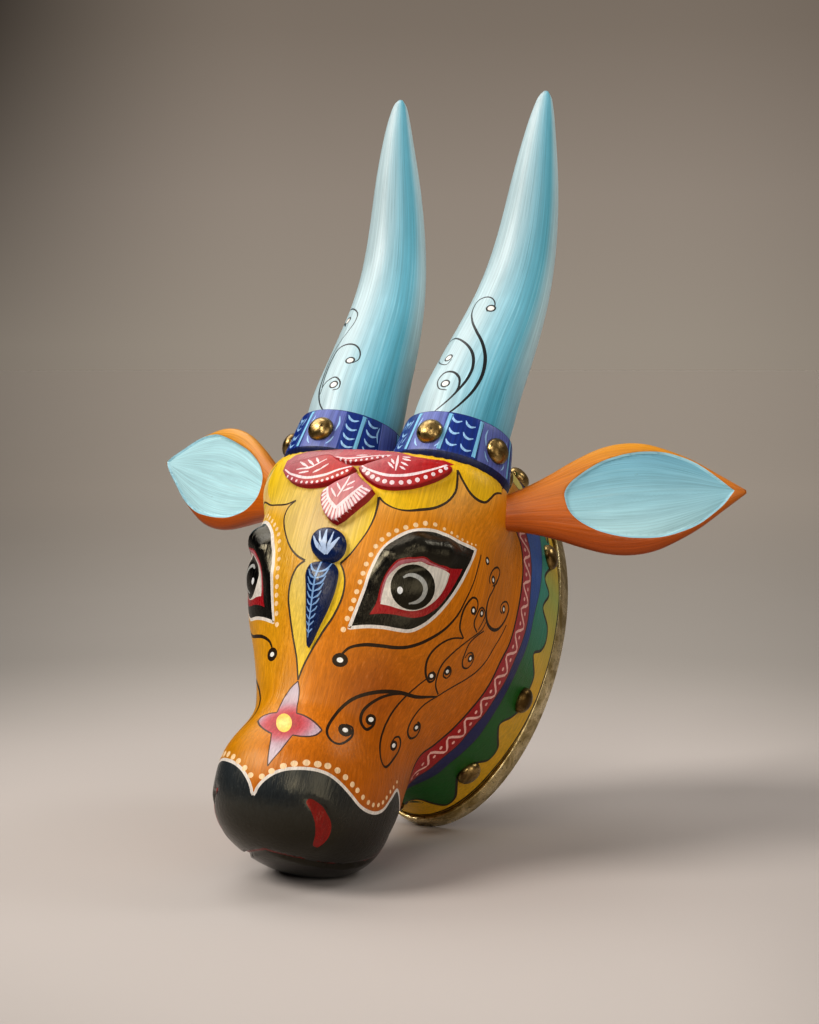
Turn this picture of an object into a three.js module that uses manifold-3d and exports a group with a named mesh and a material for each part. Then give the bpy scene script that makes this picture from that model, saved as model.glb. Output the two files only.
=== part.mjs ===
// Carved and painted wooden cow mask: a hollow head with two collared horns, two leaf ears,
// a brass hoop round its back edge and brass dome nails.
//
// Lengths in millimetres. The mask is described upright in its own frame, in which the flat back
// lies in the plane Y = 0, the face looks along -Y and +Z runs up the back. Points of the head are
// written (across, up, forward). The whole mask is then leaned back by LEAN, so that it stands on
// the underside of the muzzle and the foot of the hoop.

import * as THREE from 'three';
import { mergeVertices } from 'three/addons/utils/BufferGeometryUtils.js';
import Module from 'manifold-3d';

const wasm = await Module();
wasm.setup();

const LEAN = THREE.MathUtils.degToRad(29);   // how far the back leans from the vertical

// back edge and hoop
const BACK_HALF_WIDTH = 79.0;      // wood inside the hoop
const BACK_HALF_HEIGHT = 145.0;
const BACK_CENTRE = 148.5;         // middle of the oval above the foot of the hoop
const SIDE_DEPTH = 112.0;          // depth of the straight painted side behind the cheeks
const SIDE_FLARE = 0.03;
const HOOP_FIT = 0.3;
const HOOP_THICK = 3.2;
const HOOP_DEPTH = 17.0;
const HOOP_STEPS = 60;
const FORWARD_SHIFT = 52.3;        // moves the middle of the standing mask over the origin
const FOOT_TRIM = 0.5;             // flat worn on the foot of the hoop and under the muzzle

// head block, by height: [up, half width, front, roundness depth, back of the jaw]
const FACE_STATIONS = [
  [-45, 46, 238, 70, 118],
  [0, 53, 234, 78, 104],
  [30, 61, 235, 84, 70],
  [60, 73, 239, 88, 30],
  [90, 86, 245, 90, 10],
  [120, 93, 249, 90, 5],
  [150, 93, 250, 88, 0],
  [185, 89, 247, 82, 0],
  [240, 80, 240, 76, 0],
];
const CROWN_START = 178.0, CROWN_RISE = 62.0;
const CHIN_START = -10.0, CHIN_DROP = 60.0;
const MUZZLE = [0, -42, 188];
const MUZZLE_SIZE = [57, 47, 65];
const BOSS = [46, 196, 180];       // swelling under each horn
const BOSS_SIZE = [50, 34, 48];
const SEAT_HEIGHT = 213.0;         // flat on which the collars stand
const SEAT_BACK = 128.0;

// hollow behind
const HOLLOW_SIZE = [61, 122, 205];

// horns and collars
const HORN_ACROSS = 46.0, HORN_FORWARD = 178.0;
const HORN_TIP_ACROSS = 64.5;
const HORN_TOP = 538.0;            // height at which the rounded tip ends
const HORN_SWEEP = 31.0;           // forward reach of the tip
const HORN_SAG = 20.0;             // how far the middle hangs back
const HORN_SIDES = 20;
const COLLAR_HEIGHT = 40.0;
const COLLAR_PROFILE = [[0, 42.5], [6, 45.6], [36.5, 41.2], [40, 40]];
const COLLAR_BORE = 37.3;
const JOINT_GAP = 0.3;

// ears
const EAR_ROOT = [70, 190, 170];
const EAR_TIP = [254, 243, 118];
const EAR_LIFT = 8.0;              // the right ear of the cow is set a little higher
const EAR_TILT = THREE.MathUtils.degToRad(15);
const EAR_PROFILE = [               // [share of length, half height, half thickness]
  [0, 11, 11], [0.117, 13, 11], [0.2, 17, 10.4], [0.29, 23.5, 9.6], [0.38, 31.5, 8.8],
  [0.464, 37.8, 8], [0.53, 40.6, 7.8], [0.597, 41, 7.5], [0.66, 39, 7.3], [0.734, 33.5, 7],
  [0.82, 25, 6.7], [0.9, 14.5, 6], [0.96, 6.5, 4.6], [1, 1.2, 1.4],
];

// brass dome nails
const NAIL_RADIUS = 10.0, NAIL_RISE = 6.5;
const RIM_NAIL_FORWARD = 47.0;
const RIM_NAIL_TURNS = [-25, 25, 65, 110, 141.5, 186, 218.5, 250, 295];   // degrees from the top
const COLLAR_NAIL_TURNS = [0, 72, 144, -144];  // degrees from the front, outward positive
const COLLAR_NAIL_HEIGHT = 21.0;

const HEART = [55, 145];           // inner point (up, forward) from which the head is measured outward
const HEAD_RINGS = 28, HEAD_SPOKES = 56;

const rad = THREE.MathUtils.degToRad;
const place = (x, w, d) => new THREE.Vector3(x, -d, w);

// ---- surface of the head, negative inside ----
function station(w) {
  const rows = FACE_STATIONS, last = rows.length - 1;
  if (w <= rows[0][0]) return rows[0].slice(1);
  if (w >= rows[last][0]) return rows[last].slice(1);
  let i = 1;
  while (w > rows[i][0]) i++;
  const before = rows[Math.max(0, i - 2)], a = rows[i - 1], b = rows[i], after = rows[Math.min(last, i + 1)];
  const span = b[0] - a[0], t = (w - a[0]) / span, t2 = t * t, t3 = t2 * t;
  return [1, 2, 3, 4].map((k) => {
    const ma = (b[k] - before[k]) / (b[0] - before[0]) * span;
    const mb = (after[k] - a[k]) / (after[0] - a[0]) * span;
    return (2 * t3 - 3 * t2 + 1) * a[k] + (t3 - 2 * t2 + t) * ma + (3 * t2 - 2 * t3) * b[k] + (t3 - t2) * mb;
  });
}

function softUnion(a, b, k) {
  const h = Math.max(k - Math.abs(a - b), 0) / k;
  return Math.min(a, b) - h * h * k / 4;
}

function roundBody(u, v, w, power, scale) {
  return ((Math.abs(u) ** power + Math.abs(v) ** power + Math.abs(w) ** power) ** (1 / power) - 1) * scale;
}

function headField(x, w, d) {
  const [half, front, round, back] = station(w);
  const centre = front - round;
  const depth = d > centre ? (d - centre) / round : (centre - d) / Math.max(30, centre - back);
  const over = Math.max(0, w - CROWN_START) / CROWN_RISE, under = Math.max(0, CHIN_START - w) / CHIN_DROP;
  const q = Math.abs(x / half) ** 2.3 + depth ** 2.3 + over ** 2.3 + under ** 2.3;
  const block = (q ** (1 / 2.3) - 1) * 50;
  const muzzle = roundBody(x / MUZZLE_SIZE[0], (w - MUZZLE[1]) / MUZZLE_SIZE[1], (d - MUZZLE[2]) / MUZZLE_SIZE[2], 2.4, 50);
  const flare = 1 + SIDE_FLARE * Math.min(1, Math.max(0, d / SIDE_DEPTH));
  const wall = (Math.hypot(x / (BACK_HALF_WIDTH * flare), (w - BACK_CENTRE) / BACK_HALF_HEIGHT) - 1) * 90 + 16;
  const end = d - SIDE_DEPTH + 10;
  const side = Math.min(Math.max(wall, end), 0) + Math.hypot(Math.max(wall, 0), Math.max(end, 0)) - 16;
  const boss = roundBody((Math.abs(x) - BOSS[0]) / BOSS_SIZE[0], (w - BOSS[1]) / BOSS_SIZE[1], (d - BOSS[2]) / BOSS_SIZE[2], 2.3, 40);
  return softUnion(softUnion(softUnion(block, muzzle, 26), side, 26), boss, 12);
}

function reach(dx, dw, dd) {
  let r = 330;
  const at = (s) => headField(dx * s, HEART[0] + dw * s, HEART[1] + dd * s);
  while (r > 20 && at(r) > 0) r -= 4;
  let near = r, far = r + 4;
  for (let i = 0; i < 22; i++) {
    const m = (near + far) / 2;
    if (at(m) > 0) far = m; else near = m;
  }
  return near;
}

function onHead(x, w, d) {
  const v = [x, w - HEART[0], d - HEART[1]], l = Math.hypot(...v), r = reach(v[0] / l, v[1] / l, v[2] / l);
  return [v[0] / l * r, HEART[0] + v[1] / l * r, HEART[1] + v[2] / l * r];
}

function faceDepth(x, w) {
  let d = 300;
  while (d > 0 && headField(x, w, d) > 0) d -= 1;
  let near = d, far = d + 1;
  for (let i = 0; i < 12; i++) { const m = (near + far) / 2; if (headField(x, w, m) > 0) far = m; else near = m; }
  return near;
}

function outward(x, w, d) {
  const e = 0.5;
  const g = [headField(x + e, w, d) - headField(x - e, w, d), headField(x, w + e, d) - headField(x, w - e, d),
    headField(x, w, d + e) - headField(x, w, d - e)];
  const l = Math.hypot(...g);
  return g.map((c) => c / l);
}

// ---- mesh helpers ----
function meshOf(points, triangles) {
  const g = new THREE.BufferGeometry();
  g.setAttribute('position', new THREE.BufferAttribute(new Float32Array(points.flatMap((p) => [p.x, p.y, p.z])), 3));
  g.setIndex(triangles.flat());
  return g;
}

function faceOutward(g) {
  const p = g.attributes.position.array, t = g.index.array;
  let volume = 0;
  for (let i = 0; i < t.length; i += 3) {
    const [a, b, c] = [t[i] * 3, t[i + 1] * 3, t[i + 2] * 3];
    volume += p[a] * (p[b + 1] * p[c + 2] - p[b + 2] * p[c + 1]) - p[a + 1] * (p[b] * p[c + 2] - p[b + 2] * p[c])
      + p[a + 2] * (p[b] * p[c + 1] - p[b + 1] * p[c]);
  }
  if (volume < 0) for (let i = 0; i < t.length; i += 3) { const s = t[i + 1]; t[i + 1] = t[i + 2]; t[i + 2] = s; }
  return g;
}

// closed body through rings of equal length, its ends closed by a middle point
function loft(rings, closedLoop = false) {
  const n = rings[0].length, points = rings.flat(), triangles = [];
  const last = closedLoop ? rings.length : rings.length - 1;
  for (let k = 0; k < last; k++) {
    for (let j = 0; j < n; j++) {
      const a = k * n + j, b = k * n + (j + 1) % n;
      const k2 = (k + 1) % rings.length, c = k2 * n + (j + 1) % n, d = k2 * n + j;
      triangles.push([a, b, c], [a, c, d]);
    }
  }
  if (!closedLoop) {
    for (const k of [0, rings.length - 1]) {
      const mid = rings[k].reduce((s, p) => s.add(p), new THREE.Vector3()).divideScalar(n);
      const m = points.push(mid) - 1;
      for (let j = 0; j < n; j++) {
        const a = k * n + j, b = k * n + (j + 1) % n;
        triangles.push(k === 0 ? [m, b, a] : [m, a, b]);
      }
    }
  }
  return faceOutward(meshOf(points, triangles));
}

function solid(geometry) {
  const g = mergeVertices(geometry, 1e-4);
  return new wasm.Manifold(new wasm.Mesh({ numProp: 3, vertProperties: g.attributes.position.array, triVerts: new Uint32Array(g.index.array) }));
}

function geometryOf(body) {
  const m = body.getMesh(), g = new THREE.BufferGeometry();
  const p = new Float32Array(m.numVert * 3);
  for (let i = 0; i < m.numVert; i++) for (let k = 0; k < 3; k++) p[i * 3 + k] = m.vertProperties[i * m.numProp + k];
  g.setAttribute('position', new THREE.BufferAttribute(p, 3));
  g.setIndex(Array.from(m.triVerts));
  return g;
}

function block(x0, x1, y0, y1, z0, z1) {
  const g = new THREE.BoxGeometry(x1 - x0, y1 - y0, z1 - z0).translate((x0 + x1) / 2, (y0 + y1) / 2, (z0 + z1) / 2);
  g.deleteAttribute('normal'); g.deleteAttribute('uv');
  return solid(g);
}

// rod of changing thickness through points of the head
function rod(path, radii, sides = 6) {
  const line = path.map((p) => place(...p));
  const rings = line.map((p, i) => {
    const t = line[Math.min(i + 1, line.length - 1)].clone().sub(line[Math.max(i - 1, 0)]).normalize();
    const u = new THREE.Vector3(0, 1, 0).cross(t).normalize(), v = t.clone().cross(u);
    return Array.from({ length: sides }, (_, j) => {
      const a = j / sides * 2 * Math.PI;
      return p.clone().addScaledVector(u, radii[i] * Math.cos(a)).addScaledVector(v, radii[i] * Math.sin(a));
    });
  });
  return solid(loft(rings));
}

// points between named points of the head, lifted off its surface
function alongHead(points, lift, steps = 2) {
  const curve = new THREE.CatmullRomCurve3(points.map((p) => new THREE.Vector3(...p)));
  return curve.getPoints((points.length - 1) * steps).map((p) => {
    const q = onHead(p.x, p.y, p.z), n = outward(...q);
    return q.map((c, i) => c + n[i] * lift);
  });
}

// low raised panel cut on the forehead from an outline of (across, up)
function panel(outline, rise, crown) {
  const mx = outline.reduce((s, p) => s + p[0], 0) / outline.length, mw = outline.reduce((s, p) => s + p[1], 0) / outline.length;
  const ring = (share, lift) => outline.map(([x, w]) => {
    const px = mx + (x - mx) * share, pw = mw + (w - mw) * share;
    return place(px, pw, faceDepth(px, Math.min(pw, SEAT_HEIGHT - 1)) + lift);
  });
  return solid(loft([ring(1.0, -8), ring(1.0, rise * 0.7), ring(0.93, rise), ring(0.5, rise + crown)]));
}

// ---- head ----
// grid measured outward from the heart: spokes run from the middle of the face to the back edge,
// rings are spread evenly along them, and each square is split along its shorter diagonal
function headShell() {
  const aims = [], shares = [];
  for (let j = 0; j < HEAD_SPOKES; j++) {
    const t = j / HEAD_SPOKES * 2 * Math.PI, a = t + 0.36 * Math.sin(t);
    const edge = [BACK_HALF_WIDTH * Math.sin(a), BACK_CENTRE + BACK_HALF_HEIGHT * Math.cos(a) - HEART[0], -HEART[1]];
    const spread = Math.acos(edge[2] / Math.hypot(...edge)), across = Math.hypot(edge[0], edge[1]);
    const at = (s) => {
      const angle = spread * s, u = [edge[0] / across * Math.sin(angle), edge[1] / across * Math.sin(angle), Math.cos(angle)];
      const r = reach(...u);
      return [u[0] * r, HEART[0] + u[1] * r, HEART[1] + u[2] * r];
    };
    const fine = 90, run = [0];
    let before = at(0);
    for (let i = 1; i <= fine; i++) {
      const here = at(i / fine);
      run.push(run[i - 1] + Math.hypot(here[0] - before[0], here[1] - before[1], here[2] - before[2]));
      before = here;
    }
    const row = [];
    for (let k = 0, i = 0; k <= HEAD_RINGS; k++) {
      const want = run[fine] * k / HEAD_RINGS;
      while (i < fine - 1 && run[i + 1] < want) i++;
      row.push((i + (want - run[i]) / (run[i + 1] - run[i])) / fine);
    }
    row[HEAD_RINGS] = 1;
    aims.push(at); shares.push(row);
  }
  for (let pass = 0; pass < 6; pass++) {
    const old = shares.map((r) => r.slice());
    shares.forEach((row, j) => row.forEach((_, k) => {
      row[k] = (old[(j + HEAD_SPOKES - 1) % HEAD_SPOKES][k] + 2 * old[j][k] + old[(j + 1) % HEAD_SPOKES][k]) / 4;
    }));
  }
  const points = [place(...aims[0](0))], triangles = [];
  for (let k = 1; k <= HEAD_RINGS; k++) aims.forEach((at, j) => points.push(place(...at(shares[j][k]))));
  const id = (k, j) => 1 + (k - 1) * HEAD_SPOKES + j % HEAD_SPOKES;
  const back = points.push(place(0, BACK_CENTRE, 0)) - 1;
  for (let j = 0; j < HEAD_SPOKES; j++) {
    const rim = id(HEAD_RINGS, j);
    points[rim].y = 0;
    triangles.push([0, id(1, j + 1), id(1, j)], [back, rim, id(HEAD_RINGS, j + 1)]);
    for (let k = 1; k < HEAD_RINGS; k++) {
      const [p, q, r, s] = [id(k, j), id(k, j + 1), id(k + 1, j + 1), id(k + 1, j)];
      if (points[p].distanceTo(points[r]) < points[q].distanceTo(points[s])) triangles.push([p, q, r], [p, r, s]);
      else triangles.push([p, q, s], [q, r, s]);
    }
  }
  return solid(faceOutward(meshOf(points, triangles)));
}

function hollow() {
  const rings = [], sides = 24, steps = 8;
  const power = 2.4;
  for (const d of [-6, 0]) {
    rings.push(Array.from({ length: sides }, (_, j) => {
      const a = j / sides * 2 * Math.PI;
      return place(HOLLOW_SIZE[0] * Math.sin(a), BACK_CENTRE + HOLLOW_SIZE[1] * Math.cos(a), d);
    }));
  }
  for (let k = 1; k <= steps; k++) {
    const t = k / (steps + 0.4), shrink = (1 - t ** power) ** (1 / power);
    rings.push(Array.from({ length: sides }, (_, j) => {
      const a = j / sides * 2 * Math.PI;
      return place(HOLLOW_SIZE[0] * shrink * Math.sin(a), BACK_CENTRE + HOLLOW_SIZE[1] * shrink * Math.cos(a), HOLLOW_SIZE[2] * t);
    }));
  }
  return solid(loft(rings));
}

// outlines of the raised forehead carving, (across, up), for the side x >= 0 or on the middle line
function petalSide(side) {
  const tip = [75, 203], inner = [6, 176];
  const outline = [];
  const belly = [[66, 193], [55, 185], [42, 179.5], [28, 176.5], [16, 175]];
  const back = [[10, 184], [18, 197], [34, 207], [52, 210.5], [67, 209]];
  for (const p of [tip, ...belly, inner, ...back]) outline.push([p[0] * side, p[1]]);
  return side > 0 ? outline : outline.reverse();
}
const PETAL_CENTRE = [[0, 145], [8, 149], [17, 157], [23, 166], [25, 175], [20, 183], [8, 186], [-8, 186], [-20, 183], [-25, 175], [-23, 166], [-17, 157], [-8, 149]];
const PETAL_TOP = [[20, 206], [12, 199], [0, 195.5], [-12, 199], [-20, 206], [-12, 211], [0, 212], [12, 211]];
const TEARDROP = [[0, 57], [3.5, 68], [7, 80], [10, 92], [11.5, 102], [10.5, 111], [6.5, 118], [0, 121], [-6.5, 118], [-10.5, 111], [-11.5, 102], [-10, 92], [-7, 80], [-3.5, 68]];
const BEAD = Array.from({ length: 14 }, (_, i) => [10.5 * Math.sin(i / 14 * 2 * Math.PI), 131 + 10 * Math.cos(i / 14 * 2 * Math.PI)]);

// brow and eye of the cow's left side
const BROW = [[36, 84, 236], [43, 108, 238], [54, 127, 238], [67, 138, 231], [80, 143, 215], [88, 147, 199]];
const BROW_SIZE = [3, 7, 10, 10.5, 8.5, 3];
const EYE = [66.5, 111, 225];
const NOSTRIL = [[36, -53, 242], [44, -57, 231], [48, -65, 220], [45, -74, 215], [35, -79, 215]];
const NOSTRIL_SIZE = [1.6, 4.2, 5, 4, 1.6];
const MOUTH = [[0, -88, 222], [20, -86, 206], [34, -83, 187], [45, -73, 162], [50, -60, 140]];
const mirrored = (points, side) => points.map((p) => [p[0] * side, ...p.slice(1)]);

function eyeball(side) {
  const c = onHead(EYE[0] * side, EYE[1], EYE[2]), n = outward(...c);
  const g = new THREE.SphereGeometry(1, 16, 10);
  g.deleteAttribute('normal'); g.deleteAttribute('uv');
  const out = place(...n), along = new THREE.Vector3(0.72 * side, 0.35, 0.55);
  along.addScaledVector(out, -along.dot(out)).normalize();
  const m = new THREE.Matrix4().makeBasis(along.clone().multiplyScalar(25), out.clone().cross(along).multiplyScalar(17), out.clone().multiplyScalar(12));
  m.setPosition(place(...c).addScaledVector(out, -8.5));
  return solid(faceOutward(g.applyMatrix4(m)));
}

function spread(points, radii) {
  // radii read along the smoother path
  const steps = 2, out = [];
  for (let i = 0; i < (points.length - 1) * steps + 1; i++) {
    const t = i / steps, k = Math.min(radii.length - 2, Math.floor(t));
    out.push(radii[k] + (radii[k + 1] - radii[k]) * (t - k));
  }
  return out;
}

function head() {
  let body = headShell();
  body = body.subtract(block(-120, 120, -330, -SEAT_BACK, SEAT_HEIGHT, 330));
  const raised = [panel(PETAL_TOP, 3, 1), panel(petalSide(1), 5, 1.5), panel(petalSide(-1), 5, 1.5), panel(PETAL_CENTRE, 6.5, 1),
    panel(TEARDROP, 3, 4), panel(BEAD, 4, 4.5)];
  for (const side of [-1, 1]) {
    raised.push(rod(alongHead(mirrored(BROW, side), -4), spread(BROW, BROW_SIZE)));
    raised.push(eyeball(side));
  }
  for (const r of raised) body = body.add(r);
  for (const side of [-1, 1]) {
    body = body.subtract(rod(alongHead(mirrored(NOSTRIL, side), 1.2), spread(NOSTRIL, NOSTRIL_SIZE)));
  }
  const lip = [...mirrored(MOUTH.slice(1), -1).reverse(), ...MOUTH];
  body = body.subtract(rod(alongHead(lip, 0.8, 2), alongHead(lip, 0, 2).map(() => 2.4), 5));
  body = body.subtract(block(-120, 120, -330, -SEAT_BACK, SEAT_HEIGHT, 330));
  body = body.subtract(hollow()).subtract(rebate());
  for (const side of [-1, 1]) body = body.subtract(earSocket(side));
  return body.simplify(0.08);
}

// ---- horns and collars ----
function ringAround(centre, u, v, radius, sides) {
  return Array.from({ length: sides }, (_, j) => {
    const a = j / sides * 2 * Math.PI;
    return centre.clone().addScaledVector(u, radius * Math.cos(a)).addScaledVector(v, radius * Math.sin(a));
  });
}

function hornAxis(side, t) {
  const w = SEAT_HEIGHT + COLLAR_HEIGHT + (HORN_TOP - SEAT_HEIGHT - COLLAR_HEIGHT) * t;
  const x = HORN_ACROSS + (HORN_TIP_ACROSS - HORN_ACROSS) * (0.6 * t + 0.4 * t * t * (3 - 2 * t));
  return place(x * side, w, HORN_FORWARD + HORN_SWEEP * t ** 2.4 - HORN_SAG * Math.sin(Math.PI * t) ** 2);
}

function hornRadius(t) {
  const rows = [[0, 37], [0.07, 36.6], [0.17, 34.2], [0.27, 32], [0.4, 28.8], [0.58, 24.2], [0.75, 18.8], [0.866, 13.2], [0.946, 8.4], [0.985, 5], [1, 1.8]];
  let i = 1;
  while (i < rows.length - 1 && t > rows[i][0]) i++;
  const [a, ra] = rows[i - 1], [b, rb] = rows[i];
  return ra + (rb - ra) * (t - a) / (b - a);
}

function horn(side) {
  const up = new THREE.Vector3(0, 0, 1);
  const base = place(HORN_ACROSS * side, SEAT_HEIGHT + JOINT_GAP, HORN_FORWARD);
  const rings = [ringAround(base, new THREE.Vector3(1, 0, 0), new THREE.Vector3(0, 1, 0), 37, HORN_SIDES)];
  for (const t of [0, 0.1, 0.2, 0.3, 0.4, 0.5, 0.6, 0.7, 0.8, 0.89, 0.955, 0.985, 1]) {
    const p = hornAxis(side, t), e = 0.002;
    const tangent = t === 0 ? up.clone() : hornAxis(side, Math.min(1, t + e)).sub(hornAxis(side, t - e)).normalize();
    const u = new THREE.Vector3(1, 0, 0).addScaledVector(tangent, -tangent.x).normalize(), v = tangent.clone().cross(u);
    rings.push(ringAround(p, u, v, hornRadius(t), HORN_SIDES));
  }
  return loft(rings);
}

function collar(side) {
  const sides = 32, profile = [...COLLAR_PROFILE, [COLLAR_HEIGHT, COLLAR_BORE], [0, COLLAR_BORE]];
  const rings = Array.from({ length: sides }, (_, j) => {
    const a = j / sides * 2 * Math.PI;
    return profile.map(([h, r]) => place(HORN_ACROSS * side + r * Math.sin(a), SEAT_HEIGHT + JOINT_GAP + h, HORN_FORWARD + r * Math.cos(a)));
  });
  return loft(rings, true);
}

// ---- ears ----
function earFrame(side) {
  const lift = side < 0 ? EAR_LIFT : 0;
  const root = place(EAR_ROOT[0] * side, EAR_ROOT[1], EAR_ROOT[2]), tip = place(EAR_TIP[0] * side, EAR_TIP[1] + lift, EAR_TIP[2]);
  const along = tip.clone().sub(root), length = along.length();
  along.normalize();
  const up = new THREE.Vector3(0, -Math.sin(EAR_TILT), Math.cos(EAR_TILT));
  up.addScaledVector(along, -up.dot(along)).normalize();
  const front = along.clone().cross(up).multiplyScalar(side);
  return { root, along, up, front, length };
}

function earRing(frame, share, high, thick, sides = 16) {
  const c = frame.root.clone().addScaledVector(frame.along, frame.length * share).addScaledVector(frame.up, 3 * Math.sin(Math.PI * Math.min(1, Math.max(0, share))));
  const power = 2 / 2.6;
  return Array.from({ length: sides }, (_, j) => {
    const a = j / sides * 2 * Math.PI, ca = Math.cos(a), sa = Math.sin(a);
    return c.clone().addScaledVector(frame.up, Math.sign(ca) * Math.abs(ca) ** power * high)
      .addScaledVector(frame.front, Math.sign(sa) * Math.abs(sa) ** power * thick);
  });
}

function ear(side) {
  const frame = earFrame(side);
  return loft(EAR_PROFILE.map(([s, h, t]) => earRing(frame, s, h, t)));
}

function earSocket(side) {
  const frame = earFrame(side);
  return solid(loft([[-0.003, 11 + JOINT_GAP, 11 + JOINT_GAP], [0.117, 13 + JOINT_GAP, 11 + JOINT_GAP], [0.2, 17 + JOINT_GAP, 10.4 + JOINT_GAP]]
    .map(([s, h, t]) => earRing(frame, s, h, t))));
}

// ---- hoop and nails ----
function hoop() {
  const inner = HOOP_FIT, outer = HOOP_FIT + HOOP_THICK;
  const rings = Array.from({ length: HOOP_STEPS }, (_, j) => {
    const a = j / HOOP_STEPS * 2 * Math.PI;
    const at = (off, d) => place((BACK_HALF_WIDTH + off) * Math.sin(a), BACK_CENTRE + (BACK_HALF_HEIGHT + off) * Math.cos(a), d);
    return [at(inner, 0), at(outer, 0), at(outer, HOOP_DEPTH), at(inner, HOOP_DEPTH)];
  });
  return loft(rings, true);
}

// step cut round the back edge of the head, in which the hoop sits
function rebate() {
  return solid(loft(Array.from({ length: HOOP_STEPS }, (_, j) => {
    const a = j / HOOP_STEPS * 2 * Math.PI;
    const at = (off, d) => place((BACK_HALF_WIDTH + off) * Math.sin(a), BACK_CENTRE + (BACK_HALF_HEIGHT + off) * Math.cos(a), d);
    return [at(0, -5), at(30, -5), at(30, HOOP_DEPTH + 0.4), at(0, HOOP_DEPTH + 0.4)];
  }), true));
}

// dome of a nail standing on a surface point with its outward direction
function dome(point, out) {
  const sides = 10, rings = [];
  const u = new THREE.Vector3(0, 0, 1).cross(out);
  if (u.length() < 0.1) u.set(1, 0, 0);
  u.normalize();
  const v = out.clone().cross(u);
  for (const [r, h] of [[NAIL_RADIUS, 0], [NAIL_RADIUS * 0.8, 3.8], [NAIL_RADIUS * 0.36, NAIL_RISE]]) {
    rings.push(ringAround(point.clone().addScaledVector(out, h), u, v, r, sides));
  }
  return loft(rings);
}

function rimNail(turn) {
  const a = rad(turn);
  const aim = [BACK_HALF_WIDTH * Math.sin(a), BACK_HALF_HEIGHT * Math.cos(a)];
  let r = 1.4;
  while (headField(aim[0] * r, BACK_CENTRE + aim[1] * r, RIM_NAIL_FORWARD) > 0) r -= 0.001;
  const p = [aim[0] * r, BACK_CENTRE + aim[1] * r, RIM_NAIL_FORWARD];
  const n = outward(...p);
  return dome(place(...p).addScaledVector(place(...n), 1.1), place(...n));
}

function collarNail(side, turn) {
  const a = rad(turn) * side;
  const h = COLLAR_NAIL_HEIGHT, r = 45.6 - (45.6 - 41.2) * (h - 6) / 30.5;
  const out = place(Math.sin(a), 0.17, Math.cos(a)).normalize();
  const p = place(HORN_ACROSS * side + r * Math.sin(a), SEAT_HEIGHT + JOINT_GAP + h, HORN_FORWARD + r * Math.cos(a));
  return dome(p.addScaledVector(out, 0.5), out);
}

// ---- assembly ----
const mask = new THREE.Group();
const GROUND = block(-400, 400, -500, 500, -200, FOOT_TRIM);

function add(name, geometry, colour, roughness, metalness, ground = false) {
  const turned = geometry.clone();
  turned.rotateX(-LEAN);
  let g = mergeVertices(turned, 1e-3);
  if (ground) g = geometryOf(solid(g).subtract(GROUND).simplify(0.06));
  g.translate(0, FORWARD_SHIFT, -FOOT_TRIM);
  const mesh = new THREE.Mesh(g, new THREE.MeshStandardMaterial({ color: colour, roughness, metalness }));
  mesh.name = name;
  mask.add(mesh);
}

add('head', geometryOf(head()), 0xd08a1e, 0.45, 0, true);
for (const [word, side] of [['left', 1], ['right', -1]]) {
  add(`horn_${word}`, horn(side), 0x7cc4d6, 0.42, 0);
  add(`collar_${word}`, collar(side), 0x23408e, 0.45, 0);
  add(`ear_${word}`, ear(side), 0xd08a1e, 0.45, 0);
}
add('rim_band', hoop(), 0x8a7a4a, 0.38, 1, true);
RIM_NAIL_TURNS.forEach((turn, i) => add(`rim_nail_${i + 1}`, rimNail(turn), 0x9a8650, 0.34, 1));
for (const [word, side] of [['left', 1], ['right', -1]]) {
  COLLAR_NAIL_TURNS.forEach((turn, i) => add(`collar_nail_${word}_${i + 1}`, collarNail(side, turn), 0x9a8650, 0.34, 1));
}

export default mask;
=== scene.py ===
import math

import bmesh
import bpy
import numpy as np
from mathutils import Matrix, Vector
from mathutils.geometry import delaunay_2d_cdt
from mathutils.kdtree import KDTree


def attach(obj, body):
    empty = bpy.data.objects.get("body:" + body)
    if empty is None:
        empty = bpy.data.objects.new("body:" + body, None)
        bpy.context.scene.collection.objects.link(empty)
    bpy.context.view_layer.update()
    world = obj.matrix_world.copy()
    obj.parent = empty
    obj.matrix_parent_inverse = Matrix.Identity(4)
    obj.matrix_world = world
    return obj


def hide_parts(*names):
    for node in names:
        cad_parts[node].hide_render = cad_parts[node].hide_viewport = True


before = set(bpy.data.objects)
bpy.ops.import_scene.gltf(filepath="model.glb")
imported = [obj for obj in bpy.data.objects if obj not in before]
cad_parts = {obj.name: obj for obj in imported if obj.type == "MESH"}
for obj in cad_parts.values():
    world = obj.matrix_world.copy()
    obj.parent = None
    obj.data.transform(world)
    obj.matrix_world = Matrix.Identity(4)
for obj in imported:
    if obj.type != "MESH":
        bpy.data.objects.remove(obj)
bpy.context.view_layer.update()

# Sizes are in mm in the head's own frame: x to the cow's left, w up the back, d forward from the wall side.
LEAN = math.radians(29)
FORWARD_SHIFT, FOOT_TRIM = 52.3, 0.5
BACK_HALF_WIDTH, BACK_HALF_HEIGHT, BACK_CENTRE = 79, 145, 148.5
SIDE_DEPTH, SIDE_FLARE = 112, 0.03
HOOP_THICK, HOOP_DEPTH, JOINT_GAP = 3.2, 17, 0.3
SEAT_HEIGHT, SEAT_BACK = 213, 128
HOLLOW_SIZE = (61, 122, 205)
HEART = np.array([0, 55, 145.0])

# Each row: w, half width, front, roundness, jaw back
FACE_STATIONS = np.array([
    [-45, 46, 238, 70, 118], [0, 53, 234, 78, 104], [30, 61, 235, 84, 70], [60, 73, 239, 88, 30],
    [90, 86, 245, 90, 10], [120, 93, 249, 90, 5], [150, 93, 250, 88, 0], [185, 89, 247, 82, 0],
    [240, 80, 240, 76, 0.0]])

# The photograph's camera, in the row frame in metres
PHOTO_SIZE = (819, 1024)
PHOTO_FOCAL = 2100
CAMERA_PLACE = (0.7596, -1.3763, 0.3745)
CAMERA_YAW, CAMERA_PITCH = math.radians(28.44), math.radians(4.54)


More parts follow.
